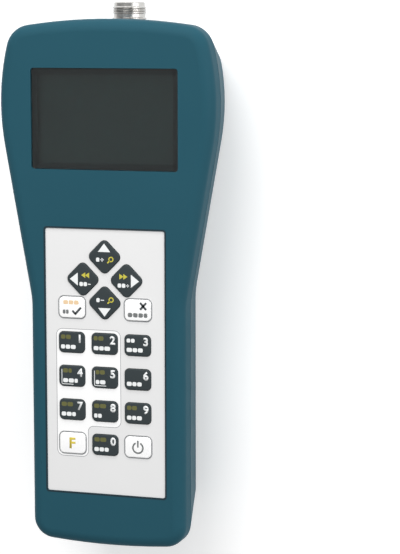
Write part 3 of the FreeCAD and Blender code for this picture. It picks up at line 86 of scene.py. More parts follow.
# Colours of mouldings, films and inks, as linear values
TEAL = (0.021, 0.085, 0.117)
CHARCOAL = (0.034, 0.045, 0.049)
PANEL_GREY = (0.79, 0.79, 0.79)
FIELD_WHITE = (0.98, 0.98, 0.98)
LINE_GREY = (0.30, 0.31, 0.32)
GLASS_TINT = (0.62, 0.66, 0.66, 1)
# The window's dark border is a printed mask, made darker as painted shade of the recess walls
BORDER_DARK = (0.010, 0.020, 0.021)
# Painted shade: the dark line round the keypad film stands for the shade in the narrow gap at the
# film's edge
GAP_SHADE_DARK = (0.004, 0.022, 0.033)
MARK_WHITE = (0.86, 0.88, 0.88)
MARK_YELLOW = (0.58, 0.52, 0.06)
MARK_OLIVE = (0.13, 0.13, 0.04)
MARK_AMBER = (0.84, 0.61, 0.37)
MARK_GOLD = (0.68, 0.54, 0.06)
MARK_GREY = (0.17, 0.18, 0.18)
MARK_DARK = (0.06, 0.07, 0.075)

# Colours of what lies inside, as linear values
DISPLAY_DARK = (0.022, 0.052, 0.050)
FOAM_BLACK = (0.02, 0.02, 0.02)
RIBBON_AMBER = (0.45, 0.20, 0.03)
BOARD_GREEN = (0.01, 0.10, 0.035)
STEEL_GREY = (0.55, 0.55, 0.56)
TIN_GREY = (0.62, 0.62, 0.60)
PLASTIC_BLACK = (0.012, 0.012, 0.013)
EPOXY_BLACK = (0.018, 0.018, 0.02)
NICKEL = (0.50, 0.49, 0.475)
INSULATOR_WHITE = (0.80, 0.80, 0.77)
GOLD = (0.80, 0.56, 0.20)
CELL_BLUE = (0.05, 0.06, 0.09)
CELL_WORN = (0.5, 0.5, 0.5)
SPRING_GREY = (0.60, 0.59, 0.56)
LEAD_RED = (0.35, 0.02, 0.015)

# A rubbed edge is this much lighter than its surface, unless its colour is given
RUBBED_GAIN = 1.6
RUBBED_LIFT = 0.03
BUMP_STRENGTH = 0.6

# The white field on the keypad film, its outline, and the rings round the white keys
FIELD_MARGIN = 0.95 * MM
FIELD_STEP = 2.1 * MM
FIELD_CORNER = 3.0 * MM
FIELD_INNER_CORNER = 2.6 * MM
FIELD_OVERLAP = 1.0 * MM
FIELD_LINE_HALF = 0.13 * MM
RING_CORNER = 2.6 * MM
RING_LINE_HALF = 0.2 * MM

# The middle of the ink's thickness lies this far above what it is printed on
INK_LIFT = 0.02 * MM
INK_THICKNESS = 0.03 * MM
KEY_ROUNDING = 0.45 * MM
KEY_EDGE = 0.4 * MM
NARROW_GAP = 0.05 * MM

# Points closer than this are one point, and points this near to a face's height lie on it
SAME_POINT = 0.002 * MM
SAME_HEIGHT = 0.01 * MM
SAME_PLANE = math.radians(0.6)

# A capital's height as a share of the type size, and a dash's corner as a share of its side
CAPITAL_SHARE = 0.7
DASH_CORNER = 0.3
RING_SIDES = 40

WHITE_KEYS = ("key_ok", "key_cancel", "key_function", "key_power")
DIGIT_KEYS = tuple(f"key_{digit}" for digit in "1234567890")
ARROW_KEYS = {"key_up": 90, "key_left": 180, "key_down": 270, "key_right": 0}
PLUS_KEYS = ("key_up", "key_right")
UPRIGHT_TURNS = (90, 270)

# Widths of the dashes in each number key's upper and lower label, in millimetres
LABEL_WIDTHS = {
    "1": ((2.2, 2.4), (2.0, 2.2, 2.4)),
    "2": ((2.0, 2.6), (2.4, 2.2, 2.8)),
    "3": ((), (2.6, 2.2, 2.4)),
    "4": ((2.4, 1.6), (2.4, 2.6, 1.6)),
    "5": ((1.8, 2.4), (1.8, 2.6)),
    "6": ((), (2.4, 2.0, 2.2)),
    "7": ((2.6, 2.8), (2.2, 2.4, 1.8)),
    "8": ((2.6, 3.0), (1.6, 1.8)),
    "9": ((2.2, 2.4), (2.2, 2.0, 2.4)),
    "0": ((2.6, 3.0), (2.2, 2.2, 2.0)),
}
LABEL_MARGIN = 1.1 * MM
RULED_KEYS = "45"
RULE_MARGIN = 0.9 * MM
RULE_WIDTH = 0.3 * MM

MATERIALS = {}


def work_on(*objects):
    """Leave edit mode and make these the only selected objects, the first one active."""
    if bpy.context.mode != "OBJECT":
        bpy.ops.object.mode_set(mode="OBJECT")
    bpy.ops.object.select_all(action="DESELECT")
    for obj in objects:
        obj.select_set(True)
    bpy.context.view_layer.objects.active = objects[0]


def named(name):
    """Name the active object and its mesh."""
    obj = bpy.context.object
    obj.name = name
    obj.data.name = name
    return obj


def settle(obj):
    """Put an object's place, turn and size into its mesh."""
    work_on(obj)
    bpy.ops.object.transform_apply(location=True, rotation=True, scale=True)
    return obj


def shape(obj, selected="DESELECT"):
    """Enter edit mode with nothing selected, or with everything."""
    work_on(obj)
    bpy.ops.object.mode_set(mode="EDIT")
    bpy.ops.mesh.select_mode(type="VERT")
    bpy.ops.mesh.select_all(action=selected)


def pick(obj, kind, test):
    """Select the faces, edges or vertices that a test accepts."""
    modes = {"faces": "FACE", "edges": "EDGE", "verts": "VERT"}
    bpy.ops.mesh.select_mode(type=modes[kind])
    bpy.ops.mesh.select_all(action="DESELECT")
    mesh = bmesh.from_edit_mesh(obj.data)
    for element in getattr(mesh, kind):
        element.select_set(bool(test(element)))
    bmesh.update_edit_mesh(obj.data)


def round_edges(reach, segments):
    """Round the selected edges over."""
    bpy.ops.mesh.bevel(offset=reach, segments=segments, affect="EDGES", clamp_overlap=True)


def done():
    """Leave edit mode."""
    bpy.ops.object.mode_set(mode="OBJECT")


def apply_modifiers(obj):
    work_on(obj)
    for modifier in list(obj.modifiers):
        bpy.ops.object.modifier_apply(modifier=modifier.name)


def smooth(obj, degrees=30):
    """Shade smooth, with edges sharper than the angle kept sharp."""
    work_on(obj)
    bpy.ops.object.shade_smooth_by_angle(angle=math.radians(degrees))


def join(name, objects):
    work_on(*objects)
    if len(objects) > 1:
        bpy.ops.object.join()
    return named(name)


def dress(obj, body, material):
    """Give a finished piece its material and the CAD body it moves with."""
    obj.data.materials.clear()
    obj.data.materials.append(MATERIALS[material])
    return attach(obj, body)


def copy_of(node, name):
    """A new piece from a CAD node, with its loose triangles merged into whole faces."""
    source = frame["nodes"][node]
    copy = source.copy()
    copy.data = source.data.copy()
    copy.parent = None
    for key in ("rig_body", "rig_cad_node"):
        del copy[key]
    copy.name = name
    copy.data.name = name
    bpy.context.scene.collection.objects.link(copy)
    work_on(copy)
    bpy.ops.mesh.customdata_custom_splitnormals_clear()
    shape(copy, "SELECT")
    bpy.ops.mesh.remove_doubles(threshold=SAME_POINT)
    bpy.ops.mesh.dissolve_limited(angle_limit=SAME_PLANE)
    done()
    return copy


# Shader groups that several finishes share


def new_group(name, inputs, outputs):
    group = bpy.data.node_groups.new(name, "ShaderNodeTree")
    for socket, kind, value in inputs:
        made = group.interface.new_socket(socket, in_out="INPUT", socket_type=kind)
        made.default_value = value
    for socket, kind in outputs:
        group.interface.new_socket(socket, in_out="OUTPUT", socket_type=kind)
    start = group.nodes.new("NodeGroupInput")
    end = group.nodes.new("NodeGroupOutput")
    return group, start.outputs, end.inputs


def feed(tree, socket, value):
    """Link a socket to another node's output, or set its own value."""
    if isinstance(value, bpy.types.NodeSocket):
        tree.links.new(value, socket)
    else:
        socket.default_value = value


def node_in(tree, kind, settings=None, in_order=(), **inputs):
    """Add a node, set its options, and feed its inputs in order or by name."""
    node = tree.nodes.new(kind)
    for option, value in (settings or {}).items():
        setattr(node, option, value)
    for place, value in enumerate(in_order):
        feed(tree, node.inputs[place], value)
    for name, value in inputs.items():
        feed(tree, node.inputs[name.replace("_", " ")], value)
    return node


def math_node(tree, operation, first, second=0.0, third=0.0):
    settings = {"operation": operation}
    return node_in(tree, "ShaderNodeMath", settings, (first, second, third)).outputs[0]


def vector_node(tree, operation, first, second=(0, 0, 0)):
    node = node_in(tree, "ShaderNodeVectorMath", {"operation": operation}, (first, second))
    return node.outputs["Value" if operation in ("LENGTH", "DOT_PRODUCT") else "Vector"]


def object_place(tree):
    return node_in(tree, "ShaderNodeTexCoord").outputs["Object"]


def flat_place(tree):
    """The place on the object as seen straight from above."""
    return vector_node(tree, "MULTIPLY", object_place(tree), (1, 1, 0))


def make_drift_group():
    """A colour that drifts a little lighter and darker over the surface."""
    group, start, end = new_group(
        "colour_drift",
        [
            ("Colour", "NodeSocketColor", (0.5, 0.5, 0.5, 1)),
            ("Scale", "NodeSocketFloat", 40.0),
            ("Amount", "NodeSocketFloat", 0.1),
        ],
        [("Colour", "NodeSocketColor")],
    )
    place = object_place(group)
    broad = node_in(group, "ShaderNodeTexNoise", Vector=place, Scale=start["Scale"], Detail=4.0)
    centred = math_node(group, "SUBTRACT", broad.outputs["Fac"], 0.5)
    value = math_node(group, "MULTIPLY_ADD", centred, start["Amount"], 1.0)
    shifted = node_in(group, "ShaderNodeHueSaturation", Value=value, Color=start["Colour"])
    group.links.new(shifted.outputs["Color"], end["Colour"])
    return group


def make_grain_group():
    """Height of a fine moulded or blasted grain."""
    group, start, end = new_group(
        "fine_grain",
        [("Scale", "NodeSocketFloat", 2000.0), ("Sharpness", "NodeSocketFloat", 0.5)],
        [("Height", "NodeSocketFloat")],
    )
    place = object_place(group)
    noise = node_in(group, "ShaderNodeTexNoise", Vector=place, Scale=start["Scale"], Detail=3.0)
    cells = node_in(group, "ShaderNodeTexVoronoi", Vector=place, Scale=start["Scale"])
    mixed = node_in(
        group,
        "ShaderNodeMix",
        {"data_type": "FLOAT"},
        Factor=start["Sharpness"],
        A=noise.outputs["Fac"],
        B=cells.outputs["Distance"],
    )
    group.links.new(mixed.outputs["Result"], end["Height"])
    return group


def make_wear_group():
    """A mask of rubbed edges: where a rounded normal leaves the true one, broken up by noise."""
    group, start, end = new_group(
        "rubbed_edge",
        [("Width", "NodeSocketFloat", 0.5 * MM), ("Amount", "NodeSocketFloat", 0.5)],
        [("Mask", "NodeSocketFloat")],
    )
    rounded = node_in(group, "ShaderNodeBevel", {"samples": 4}, Radius=start["Width"])
    geometry = node_in(group, "ShaderNodeNewGeometry")
    agree = vector_node(group, "DOT_PRODUCT", rounded.outputs["Normal"], geometry.outputs["Normal"])
    edge = node_in(group, "ShaderNodeMapRange", Value=agree, From_Min=0.995, From_Max=0.90)
    place = object_place(group)
    patches = node_in(group, "ShaderNodeTexNoise", Vector=place, Scale=220.0, Detail=5.0)
    broken = math_node(group, "MULTIPLY", edge.outputs["Result"], patches.outputs["Fac"])
    group.links.new(math_node(group, "MULTIPLY", broken, start["Amount"]), end["Mask"])
    return group


def make_smudge_group():
    """Roughness with faint handling marks."""
    group, start, end = new_group(
        "handling_marks",
        [
            ("Roughness", "NodeSocketFloat", 0.4),
            ("Amount", "NodeSocketFloat", 0.1),
            ("Scale", "NodeSocketFloat", 60.0),
        ],
        [("Roughness", "NodeSocketFloat")],
    )
    noise = node_in(
        group,
        "ShaderNodeTexNoise",
        Vector=object_place(group),
        Scale=start["Scale"],
        Detail=6.0,
        Distortion=0.6,
    )
    centred = math_node(group, "SUBTRACT", noise.outputs["Fac"], 0.5)
    result = math_node(group, "MULTIPLY_ADD", centred, start["Amount"], start["Roughness"])
    group.links.new(result, end["Roughness"])
    return group


def make_lathe_group():
    """Height of fine turned rings about the socket's axis."""
    group, start, end = new_group(
        "turned_rings",
        [("Pitch", "NodeSocketFloat", 0.12 * MM)],
        [("Height", "NodeSocketFloat")],
    )
    along = node_in(group, "ShaderNodeSeparateXYZ", Vector=object_place(group)).outputs["Y"]
    turns = math_node(group, "DIVIDE", along, start["Pitch"])
    wave = math_node(group, "SINE", math_node(group, "MULTIPLY", turns, 2 * math.pi))
    group.links.new(wave, end["Height"])
    return group


def make_box_group():
    """Distance out from a rounded rectangle printed flat on the face, negative inside it."""
    group, start, end = new_group(
        "rounded_print",
        [
            ("Middle", "NodeSocketVector", (0, 0, 0)),
            ("Half", "NodeSocketVector", (0, 0, 0)),
            ("Radius", "NodeSocketFloat", 2 * MM),
        ],
        [("Distance", "NodeSocketFloat")],
    )
    offset = vector_node(group, "SUBTRACT", flat_place(group), start["Middle"])
    offset = vector_node(group, "ABSOLUTE", offset)
    corner = node_in(group, "ShaderNodeCombineXYZ", X=start["Radius"], Y=start["Radius"]).outputs[0]
    core = vector_node(group, "SUBTRACT", start["Half"], corner)
    beyond = vector_node(group, "MAXIMUM", vector_node(group, "SUBTRACT", offset, core), (0, 0, 0))
    reach = vector_node(group, "LENGTH", beyond)
    group.links.new(math_node(group, "SUBTRACT", reach, start["Radius"]), end["Distance"])
    return group


DRIFT = make_drift_group()
GRAIN = make_grain_group()
WEAR = make_wear_group()
SMUDGE = make_smudge_group()
LATHE = make_lathe_group()
PRINT_BOX = make_box_group()


def group_node(tree, group, **inputs):
    return node_in(tree, "ShaderNodeGroup", {"node_tree": group}, **inputs).outputs[0]


def colour_mix(tree, mask, first, second):
    """The first colour, or the second where the mask is 1. Each is a socket or a plain colour."""
    mixer = node_in(tree, "ShaderNodeMix", {"data_type": "RGBA"}, Factor=mask)
    colours = [socket for socket in mixer.inputs if socket.type == "RGBA"]
    for socket, value in zip(colours, (first, second)):
        feed(tree, socket, (*value, 1) if isinstance(value, tuple) else value)
    return next(socket for socket in mixer.outputs if socket.type == "RGBA")


# Finishes, each kept in MATERIALS under its own name


def new_material(name):
    """A new material's nodes."""
    material = bpy.data.materials.new(name)
    material.use_nodes = True
    MATERIALS[name] = material
    return material.node_tree


def finish(
    name,
    colour,
    roughness,
    metallic=0.0,
    drift=0.12,
    drift_scale=60.0,
    marks=0.12,
    grain_scale=1800.0,
    grain_depth=0.01,
    sharpness=0.4,
    wear=0.0,
    wear_width=0.4,
    wear_colour=None,
    turned=False,
    shine=0.5,
    index=1.45,
):
    """A material: drifting colour, handling marks, grain, and rubbed edges where asked.

    The depth of the grain and the width of the wear are in millimetres.
    """
    tree = new_material(name)
    shader = tree.nodes["Principled BSDF"]
    shader.inputs["Metallic"].default_value = metallic
    shader.inputs["Specular IOR Level"].default_value = shine
    shader.inputs["IOR"].default_value = index
    shown = group_node(tree, DRIFT, Colour=(*colour, 1), Scale=drift_scale, Amount=drift)
    if wear:
        mask = group_node(tree, WEAR, Width=wear_width * MM, Amount=wear)
        lighter = tuple(min(1.0, channel * RUBBED_GAIN + RUBBED_LIFT) for channel in colour)
        shown = colour_mix(tree, mask, shown, wear_colour or lighter)
    tree.links.new(shown, shader.inputs["Base Color"])
    handled = group_node(tree, SMUDGE, Roughness=roughness, Amount=marks)
    tree.links.new(handled, shader.inputs["Roughness"])
    if turned:
        height = group_node(tree, LATHE)
    else:
        height = group_node(tree, GRAIN, Scale=grain_scale, Sharpness=sharpness)
    depth = grain_depth * MM
    bump = node_in(tree, "ShaderNodeBump", Strength=BUMP_STRENGTH, Distance=depth, Height=height)
    tree.links.new(bump.outputs["Normal"], shader.inputs["Normal"])
    return tree


def make_mouldings():
    """The housing's teal plastic, the two colours of key, and the black plastics inside."""
    finish(
        "teal_moulding",
        TEAL,
        roughness=0.46,
        drift=0.10,
        drift_scale=25.0,
        grain_scale=1500.0,
        grain_depth=0.02,
        wear=0.35,
        wear_width=0.5,
        shine=0.35,
        index=1.14,
    )
    finish(
        "charcoal_key",
        CHARCOAL,
        roughness=0.5,
        grain_depth=0.008,
        wear=0.3,
        wear_width=0.3,
        shine=0.3,
    )
    finish("white_key", FIELD_WHITE, roughness=0.42, drift=0.02, grain_depth=0.006, shine=0.2)
    finish("black_moulding", PLASTIC_BLACK, roughness=0.5)
    finish("black_epoxy", EPOXY_BLACK, roughness=0.62, grain_depth=0.015)


def ink(name, colour, roughness=0.5, drift=0.1):
    """A printed ink, almost without grain."""
    finish(name, colour, roughness, drift=drift, grain_depth=0.003)


def make_inks():
    ink("white_ink", MARK_WHITE, drift=0.05)
    ink("yellow_ink", MARK_YELLOW)
    ink("olive_ink", MARK_OLIVE)
    ink("amber_ink", MARK_AMBER)
    ink("gold_ink", MARK_GOLD)
    ink("grey_ink", MARK_GREY)
    ink("dark_ink", MARK_DARK)
    # Printed border, darkened as painted shade of the window's recess walls
    ink("border_ink_and_shade", BORDER_DARK, roughness=0.4)
    # Painted shade of the gap round the keypad film, made with the ink finish
    ink("painted_gap_shade", GAP_SHADE_DARK)


def make_metals():
    """Steel, tinned sheet, springs, and the turned and plated parts of the socket."""
    finish(
        "plated_steel",
        STEEL_GREY,
        roughness=0.3,
        metallic=1.0,
        drift=0.15,
        wear=0.4,
        wear_width=0.2,
    )
    finish("tinned_sheet", TIN_GREY, roughness=0.38, metallic=1.0, drift=0.2, grain_scale=700.0)
    finish("spring_nickel", SPRING_GREY, roughness=0.28, metallic=1.0, grain_depth=0.004)
    finish(
        "nickel_plate",
        NICKEL,
        roughness=0.24,
        metallic=1.0,
        marks=0.15,
        grain_depth=0.004,
        turned=True,
        wear=0.3,
        wear_width=0.15,
    )
    finish("gold_plate", GOLD, roughness=0.22, metallic=1.0, grain_depth=0.002, turned=True)


def make_inner_finishes():
    """Display, gasket, ribbon, boards, insulator, cells and leads."""
    finish("display_face", DISPLAY_DARK, roughness=0.35, drift=0.05, grain_depth=0.002)
    finish("foam", FOAM_BLACK, roughness=0.95, grain_scale=900.0, grain_depth=0.1, sharpness=0.9)
    finish("amber_film", RIBBON_AMBER, roughness=0.3, grain_depth=0.004)
    finish("solder_mask", BOARD_GREEN, roughness=0.3, drift=0.3, drift_scale=250.0)
    finish("fluoropolymer", INSULATOR_WHITE, roughness=0.55, drift=0.06, grain_depth=0.004)
    finish(
        "cell_sleeve",
        CELL_BLUE,
        roughness=0.3,
        drift=0.2,
        grain_depth=0.004,
        wear=0.4,
        wear_colour=CELL_WORN,
    )
    finish("lead_sleeve", LEAD_RED, roughness=0.5)


def printed_box(tree, x_span, y_span, corner):
    """Distance out from a rounded rectangle on the film that fills two spans."""
    middle = (sum(x_span) / 2, sum(y_span) / 2, 0)
    half = ((x_span[1] - x_span[0]) / 2, (y_span[1] - y_span[0]) / 2, 0)
    return group_node(tree, PRINT_BOX, Middle=middle, Half=half, Radius=corner)


def number_field(tree):
    """Distance out from the stepped field behind the number keys, round in its inner corner."""
    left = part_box("key_1")[0].x - FIELD_MARGIN
    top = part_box("key_1")[1].y + FIELD_MARGIN
    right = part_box("key_2")[1].x + FIELD_MARGIN
    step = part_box("key_8")[0].y - FIELD_STEP
    mode_low, mode_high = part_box("key_function")
    mode_right = mode_high.x + FIELD_MARGIN
    foot = mode_low.y - FIELD_MARGIN
    upper = printed_box(tree, (left, right), (step, top), FIELD_CORNER)
    lower = printed_box(tree, (left, mode_right), (foot, top), FIELD_CORNER)
    centre = (mode_right + FIELD_INNER_CORNER, step - FIELD_INNER_CORNER, 0)
    patch_x = (mode_right - FIELD_OVERLAP, centre[0])
    patch_y = (centre[1], step + FIELD_OVERLAP)
    patch = printed_box(tree, patch_x, patch_y, FIELD_OVERLAP / 2)
    reach = vector_node(tree, "LENGTH", vector_node(tree, "SUBTRACT", flat_place(tree), centre))
    hollow = math_node(tree, "SUBTRACT", FIELD_INNER_CORNER, reach)
    fillet = math_node(tree, "MAXIMUM", patch, hollow)
    return math_node(tree, "MINIMUM", math_node(tree, "MINIMUM", upper, lower), fillet)


def line_over(tree, distance, half_width, under):
    """A grey line printed where a distance is near nothing."""
    mask = math_node(tree, "LESS_THAN", math_node(tree, "ABSOLUTE", distance), half_width)
    return colour_mix(tree, mask, under, LINE_GREY)


def make_printed_film():
    """The keypad overlay: pale film, a white field behind the number keys, and thin outlines."""
    tree = finish(
        "printed_film",
        PANEL_GREY,
        roughness=0.45,
        drift=0.03,
        grain_depth=0.006,
        sharpness=0.2,
        shine=0.2,
    )
    shader = tree.nodes["Principled BSDF"]
    film = shader.inputs["Base Color"].links[0].from_socket
    field = number_field(tree)
    inside = math_node(tree, "LESS_THAN", field, 0.0)
    shown = colour_mix(tree, inside, film, FIELD_WHITE)
    shown = line_over(tree, field, FIELD_LINE_HALF, shown)
    for node in WHITE_KEYS:
        low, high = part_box(node)
        outline = printed_box(tree, (low.x, high.x), (low.y, high.y), RING_CORNER)
        shown = line_over(tree, outline, RING_LINE_HALF, shown)
    tree.links.new(shown, shader.inputs["Base Color"])


def make_smoked_window():
    """The window: clear and slightly grey, with a hard smooth front."""
    tree = new_material("smoked_window")
    shader = tree.nodes["Principled BSDF"]
    shader.inputs["Transmission Weight"].default_value = 1.0
    shader.inputs["IOR"].default_value = 1.49
    tint = group_node(tree, DRIFT, Colour=GLASS_TINT, Scale=30.0, Amount=0.03)
    tree.links.new(tint, shader.inputs["Base Color"])
    handled = group_node(tree, SMUDGE, Roughness=0.08, Amount=0.06)
    tree.links.new(handled, shader.inputs["Roughness"])


NODE_FINISHES = {
    "front_cover": "teal_moulding",
    "rear_cover": "teal_moulding",
    "battery_door": "teal_moulding",
    "display_window": "smoked_window",
    "display_gasket": "foam",
    "display_module": "display_face",
    "display_ribbon": "amber_film",
    "keypad_overlay": "printed_film",
    "key_domes": "spring_nickel",
    "main_board": "solder_mask",
    "main_board_screws": "plated_steel",
    "rf_board": "solder_mask",
    "rf_board_screws": "plated_steel",
    "rf_shield": "tinned_sheet",
    "board_link": "black_moulding",
    "processor": "black_epoxy",
    "radio_module": "tinned_sheet",
    "buzzer": "black_moulding",
    "usb_socket": "tinned_sheet",
    "rf_jack": "nickel_plate",
    "rf_insulator": "fluoropolymer",
    "rf_contact": "gold_plate",
    "rf_washer": "nickel_plate",
    "rf_nut": "nickel_plate",
    "battery_cell_1": "cell_sleeve",
    "battery_cell_2": "cell_sleeve",
    "battery_cell_3": "cell_sleeve",
    "battery_plates": "spring_nickel",
    "battery_springs": "spring_nickel",
    "battery_leads": "lead_sleeve",
    "case_screws": "plated_steel",
}


def finish_cad_nodes():
    """Give every CAD node its finish, the keys by their colour."""
    for node, obj in frame["nodes"].items():
        key_finish = "white_key" if node in WHITE_KEYS else "charcoal_key"
        obj.data.materials.clear()
        obj.data.materials.append(MATERIALS[NODE_FINISHES.get(node, key_finish)])


def key_body(node):
    """The CAD body that a key moves with."""
    return node.replace("key_", "button_")


def soft_keys():
    """Each key again with its top edge rounded over, as pressed film has it."""
    for node in (*ARROW_KEYS, *WHITE_KEYS, *DIGIT_KEYS):
        key = copy_of(node, f"{node}_cap")
        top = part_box(node)[1].z
        shape(key)
        pick(key, "edges", lambda edge: all(vert.co.z > top - SAME_HEIGHT for vert in edge.verts))
        round_edges(KEY_ROUNDING, segments=4)
        done()
        smooth(key, degrees=35)
        if node in WHITE_KEYS:
            dress(key, key_body(node), "white_key")
        else:
            dress(key, key_body(node), "charcoal_key")
        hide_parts(node)


# Flat marks, each made at the height of the ink and joined by colour


def beside(place, across=0.0, up=0.0):
    """A place on the face this many millimetres to the right of another and towards the head."""
    return place.x + across * MM, place.y + up * MM


def dash(x, y, z, width, height):
    """A flat bar with round corners about its middle."""
    bpy.ops.mesh.primitive_plane_add(size=1, location=(x, y, z))
    mark = bpy.context.object
    mark.scale = (width, height, 1)
    settle(mark)
    shape(mark, "SELECT")
    corner = min(width, height) * DASH_CORNER
    bpy.ops.mesh.bevel(offset=corner, segments=2, affect="VERTICES")
    done()
    return mark


def slanted_dash(x, y, z, width, height, degrees):
    mark = dash(x, y, z, width, height)
    shape(mark, "SELECT")
    turn = -math.radians(degrees)
    bpy.ops.transform.rotate(value=turn, orient_axis="Z", center_override=(x, y, z))
    done()
    return mark


def triangle(x, y, z, width, height, degrees):
    """A triangle whose tip points along the given angle."""
    bpy.ops.mesh.primitive_circle_add(vertices=3, radius=1, fill_type="NGON", location=(x, y, z))
    mark = bpy.context.object
    width_in_circle = math.sqrt(3)
    height_in_circle = 1.5
    mark.scale = (width / width_in_circle, height / height_in_circle, 1)
    mark.rotation_euler = (0, 0, math.radians(degrees - 90))
    return settle(mark)


def ring(x, y, z, radius, stroke, opening=0.0):
    """A ring, or an open ring with a gap at its top."""
    bpy.ops.mesh.primitive_circle_add(
        vertices=RING_SIDES, radius=radius, fill_type="NGON", location=(x, y, z)
    )
    mark = settle(bpy.context.object)
    shape(mark, "SELECT")
    bpy.ops.mesh.inset(thickness=stroke)
    bpy.ops.mesh.delete(type="FACE")

    def in_gap(face):
        centre = face.calc_center_median()
        return centre.y > y and abs(centre.x - x) < opening / 2

    if opening:
        pick(mark, "faces", in_gap)
        bpy.ops.mesh.delete(type="FACE")
    done()
    return mark


def letter(text, x, y, z, height, weight):
    """One upright letter or digit with its middle at the given place."""
    bpy.ops.object.text_add(location=(x, y, z))
    mark = bpy.context.object
    mark.data.body = text
    mark.data.align_x = "CENTER"
    mark.data.align_y = "CENTER"
    mark.data.size = height / CAPITAL_SHARE
    mark.data.offset = weight
    mark.data.resolution_u = 4
    work_on(mark)
    bpy.ops.object.convert(target="MESH")
    mark = settle(bpy.context.object)
    axes = zip(*(vert.co for vert in mark.data.vertices))
    middle = Vector([(min(places) + max(places)) / 2 for places in axes])
    shape(mark, "SELECT")
    bpy.ops.transform.translate(value=Vector((x, y, z)) - middle)
    done()
    return mark


def dash_row(x, y, z, widths, height=1.9, gap=0.3):
    """A generic label of dashes from its left end, with its sizes in millimetres."""
    marks = []
    for width in widths:
        marks.append(dash(x + width * MM / 2, y, z, width * MM, height * MM))
        x += (width + gap) * MM
    return marks


def inked(name, marks, body, material):
    """Join flat marks, give the ink its thickness, and let it ride on its body."""
    print_piece = join(name, marks)
    shape(print_piece, "SELECT")
    bpy.ops.mesh.normals_make_consistent(inside=False)
    done()
    solid = print_piece.modifiers.new("ink", "SOLIDIFY")
    solid.thickness = INK_THICKNESS
    solid.offset = 0
    apply_modifiers(print_piece)
    return dress(settle(print_piece), body, material)


def key_face(node):
    """The middle of a key, and the height of the ink on its top."""
    low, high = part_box(node)
    return (low + high) / 2, high.z + INK_LIFT


def key_half(node):
    """Half the size of a key's top inside its rounded edge."""
    low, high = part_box(node)
    return (high - low) / 2 - Vector((KEY_EDGE, KEY_EDGE, 0))


def corner_rule(x, y, z):
    """A thin upright with a thin foot to its right."""
    upright_x = x + 0.3 * MM
    upright_y = y - 0.3 * MM
    foot_x = x + 3.2 * MM
    foot_y = y - 3.8 * MM
    return [
        dash(upright_x, upright_y, z, width=RULE_WIDTH, height=6.8 * MM),
        dash(foot_x, foot_y, z, width=5.6 * MM, height=RULE_WIDTH),
    ]


def digit_key_marks():
    """A white digit at the upper right of each number key, and its labels of dashes."""
    for digit, (upper, lower) in LABEL_WIDTHS.items():
        node = f"key_{digit}"
        body = key_body(node)
        middle, z = key_face(node)
        half = key_half(node)
        upper_right = middle + half
        place = beside(upper_right, across=-2.3, up=-3.0)
        white = [letter(digit, *place, z, height=3.6 * MM, weight=0.19 * MM)]
        left = middle.x - half.x + LABEL_MARGIN
        if digit in RULED_KEYS:
            white += corner_rule(left, middle.y, z)
            left += RULE_MARGIN
        lower_y = middle.y - 2.1 * MM
        white += dash_row(left, lower_y, z, lower)
        if digit == "3":
            short_y = middle.y + 2.2 * MM
            white += dash_row(left, short_y, z, widths=(1.8, 1.8), height=1.8)
        inked(f"{node}_white_ink", white, body, "white_ink")
        if upper:
            upper_y = middle.y + 2.5 * MM
            olive = dash_row(left, upper_y, z, upper, height=2.0, gap=0.25)
            inked(f"{node}_olive_ink", olive, body, "olive_ink")


def plus_or_minus(x, y, z, size, plus):
    stroke = 0.4 * MM
    marks = [dash(x, y, z, size, stroke)]
    if plus:
        marks.append(dash(x, y, z, stroke, size))
    return marks


def lens_mark(middle, z):
    """A small ring with a slanted handle at its lower left."""
    rim = beside(middle, across=3.3, up=0.3)
    handle = beside(middle, across=2.1, up=-0.9)
    return [
        ring(*rim, z, radius=1.25 * MM, stroke=0.5 * MM),
        slanted_dash(*handle, z, width=1.6 * MM, height=0.65 * MM, degrees=45),
    ]


def double_pointer(x, y, z, degrees):
    """Two small triangles side by side that point the same way."""
    apart = 0.95 * MM
    return [
        triangle(x + shift, y, z, width=2.6 * MM, height=2.0 * MM, degrees=degrees)
        for shift in (-apart, apart)
    ]


def arrow_key_marks():
    """A white pointer towards the outside of each turned key, with small marks beside it."""
    pointer_out = 3.6 * MM
    marks_in = 1.3 * MM
    lean = 0.35 * MM
    for node, degrees in ARROW_KEYS.items():
        body = key_body(node)
        middle, z = key_face(node)
        turn = math.radians(degrees)
        out = Vector((math.cos(turn), math.sin(turn), 0))
        tip = middle + out * pointer_out
        row = middle - out * marks_in
        plus = node in PLUS_KEYS
        if degrees in UPRIGHT_TURNS:
            block = beside(row, across=-3.1)
            white = [dash(*block, z, width=1.6 * MM, height=1.9 * MM)]
            sign = beside(row, across=-1.0)
            white += plus_or_minus(*sign, z, size=1.7 * MM, plus=plus)
            yellow = lens_mark(row, z)
        else:
            label = beside(row, across=-2.8, up=-2.2)
            white = dash_row(*label, z, widths=(1.7, 1.7))
            sign = beside(row, across=2.0, up=-2.2)
            white += plus_or_minus(*sign, z, size=1.4 * MM, plus=plus)
            pair = beside(row - out * lean, up=1.9)
            yellow = double_pointer(*pair, z, degrees)
        white.append(triangle(tip.x, tip.y, z, width=6.0 * MM, height=3.9 * MM, degrees=degrees))
        inked(f"{node}_white_ink", white, body, "white_ink")
        inked(f"{node}_yellow_ink", yellow, body, "yellow_ink")


def ok_key_marks():
    """A dark tick, with a grey and an amber label of dashes."""
    middle, z = key_face("key_ok")
    body = key_body("key_ok")
    stroke = 1.0 * MM
    short = beside(middle, across=1.1, up=-2.3)
    long = beside(middle, across=3.0, up=-1.6)
    tick = [
        slanted_dash(*short, z, width=2.3 * MM, height=stroke, degrees=-45),
        slanted_dash(*long, z, width=4.6 * MM, height=stroke, degrees=48),
    ]
    inked("key_ok_dark_ink", tick, body, "dark_ink")
    lower = beside(middle, across=-4.4, up=-2.1)
    grey = dash_row(*lower, z, widths=(1.3, 1.2))
    inked("key_ok_grey_ink", grey, body, "grey_ink")
    upper = beside(middle, across=-4.1, up=2.3)
    amber = dash_row(*upper, z, widths=(2.3, 2.2, 2.3), gap=0.35)
    inked("key_ok_amber_ink", amber, body, "amber_ink")


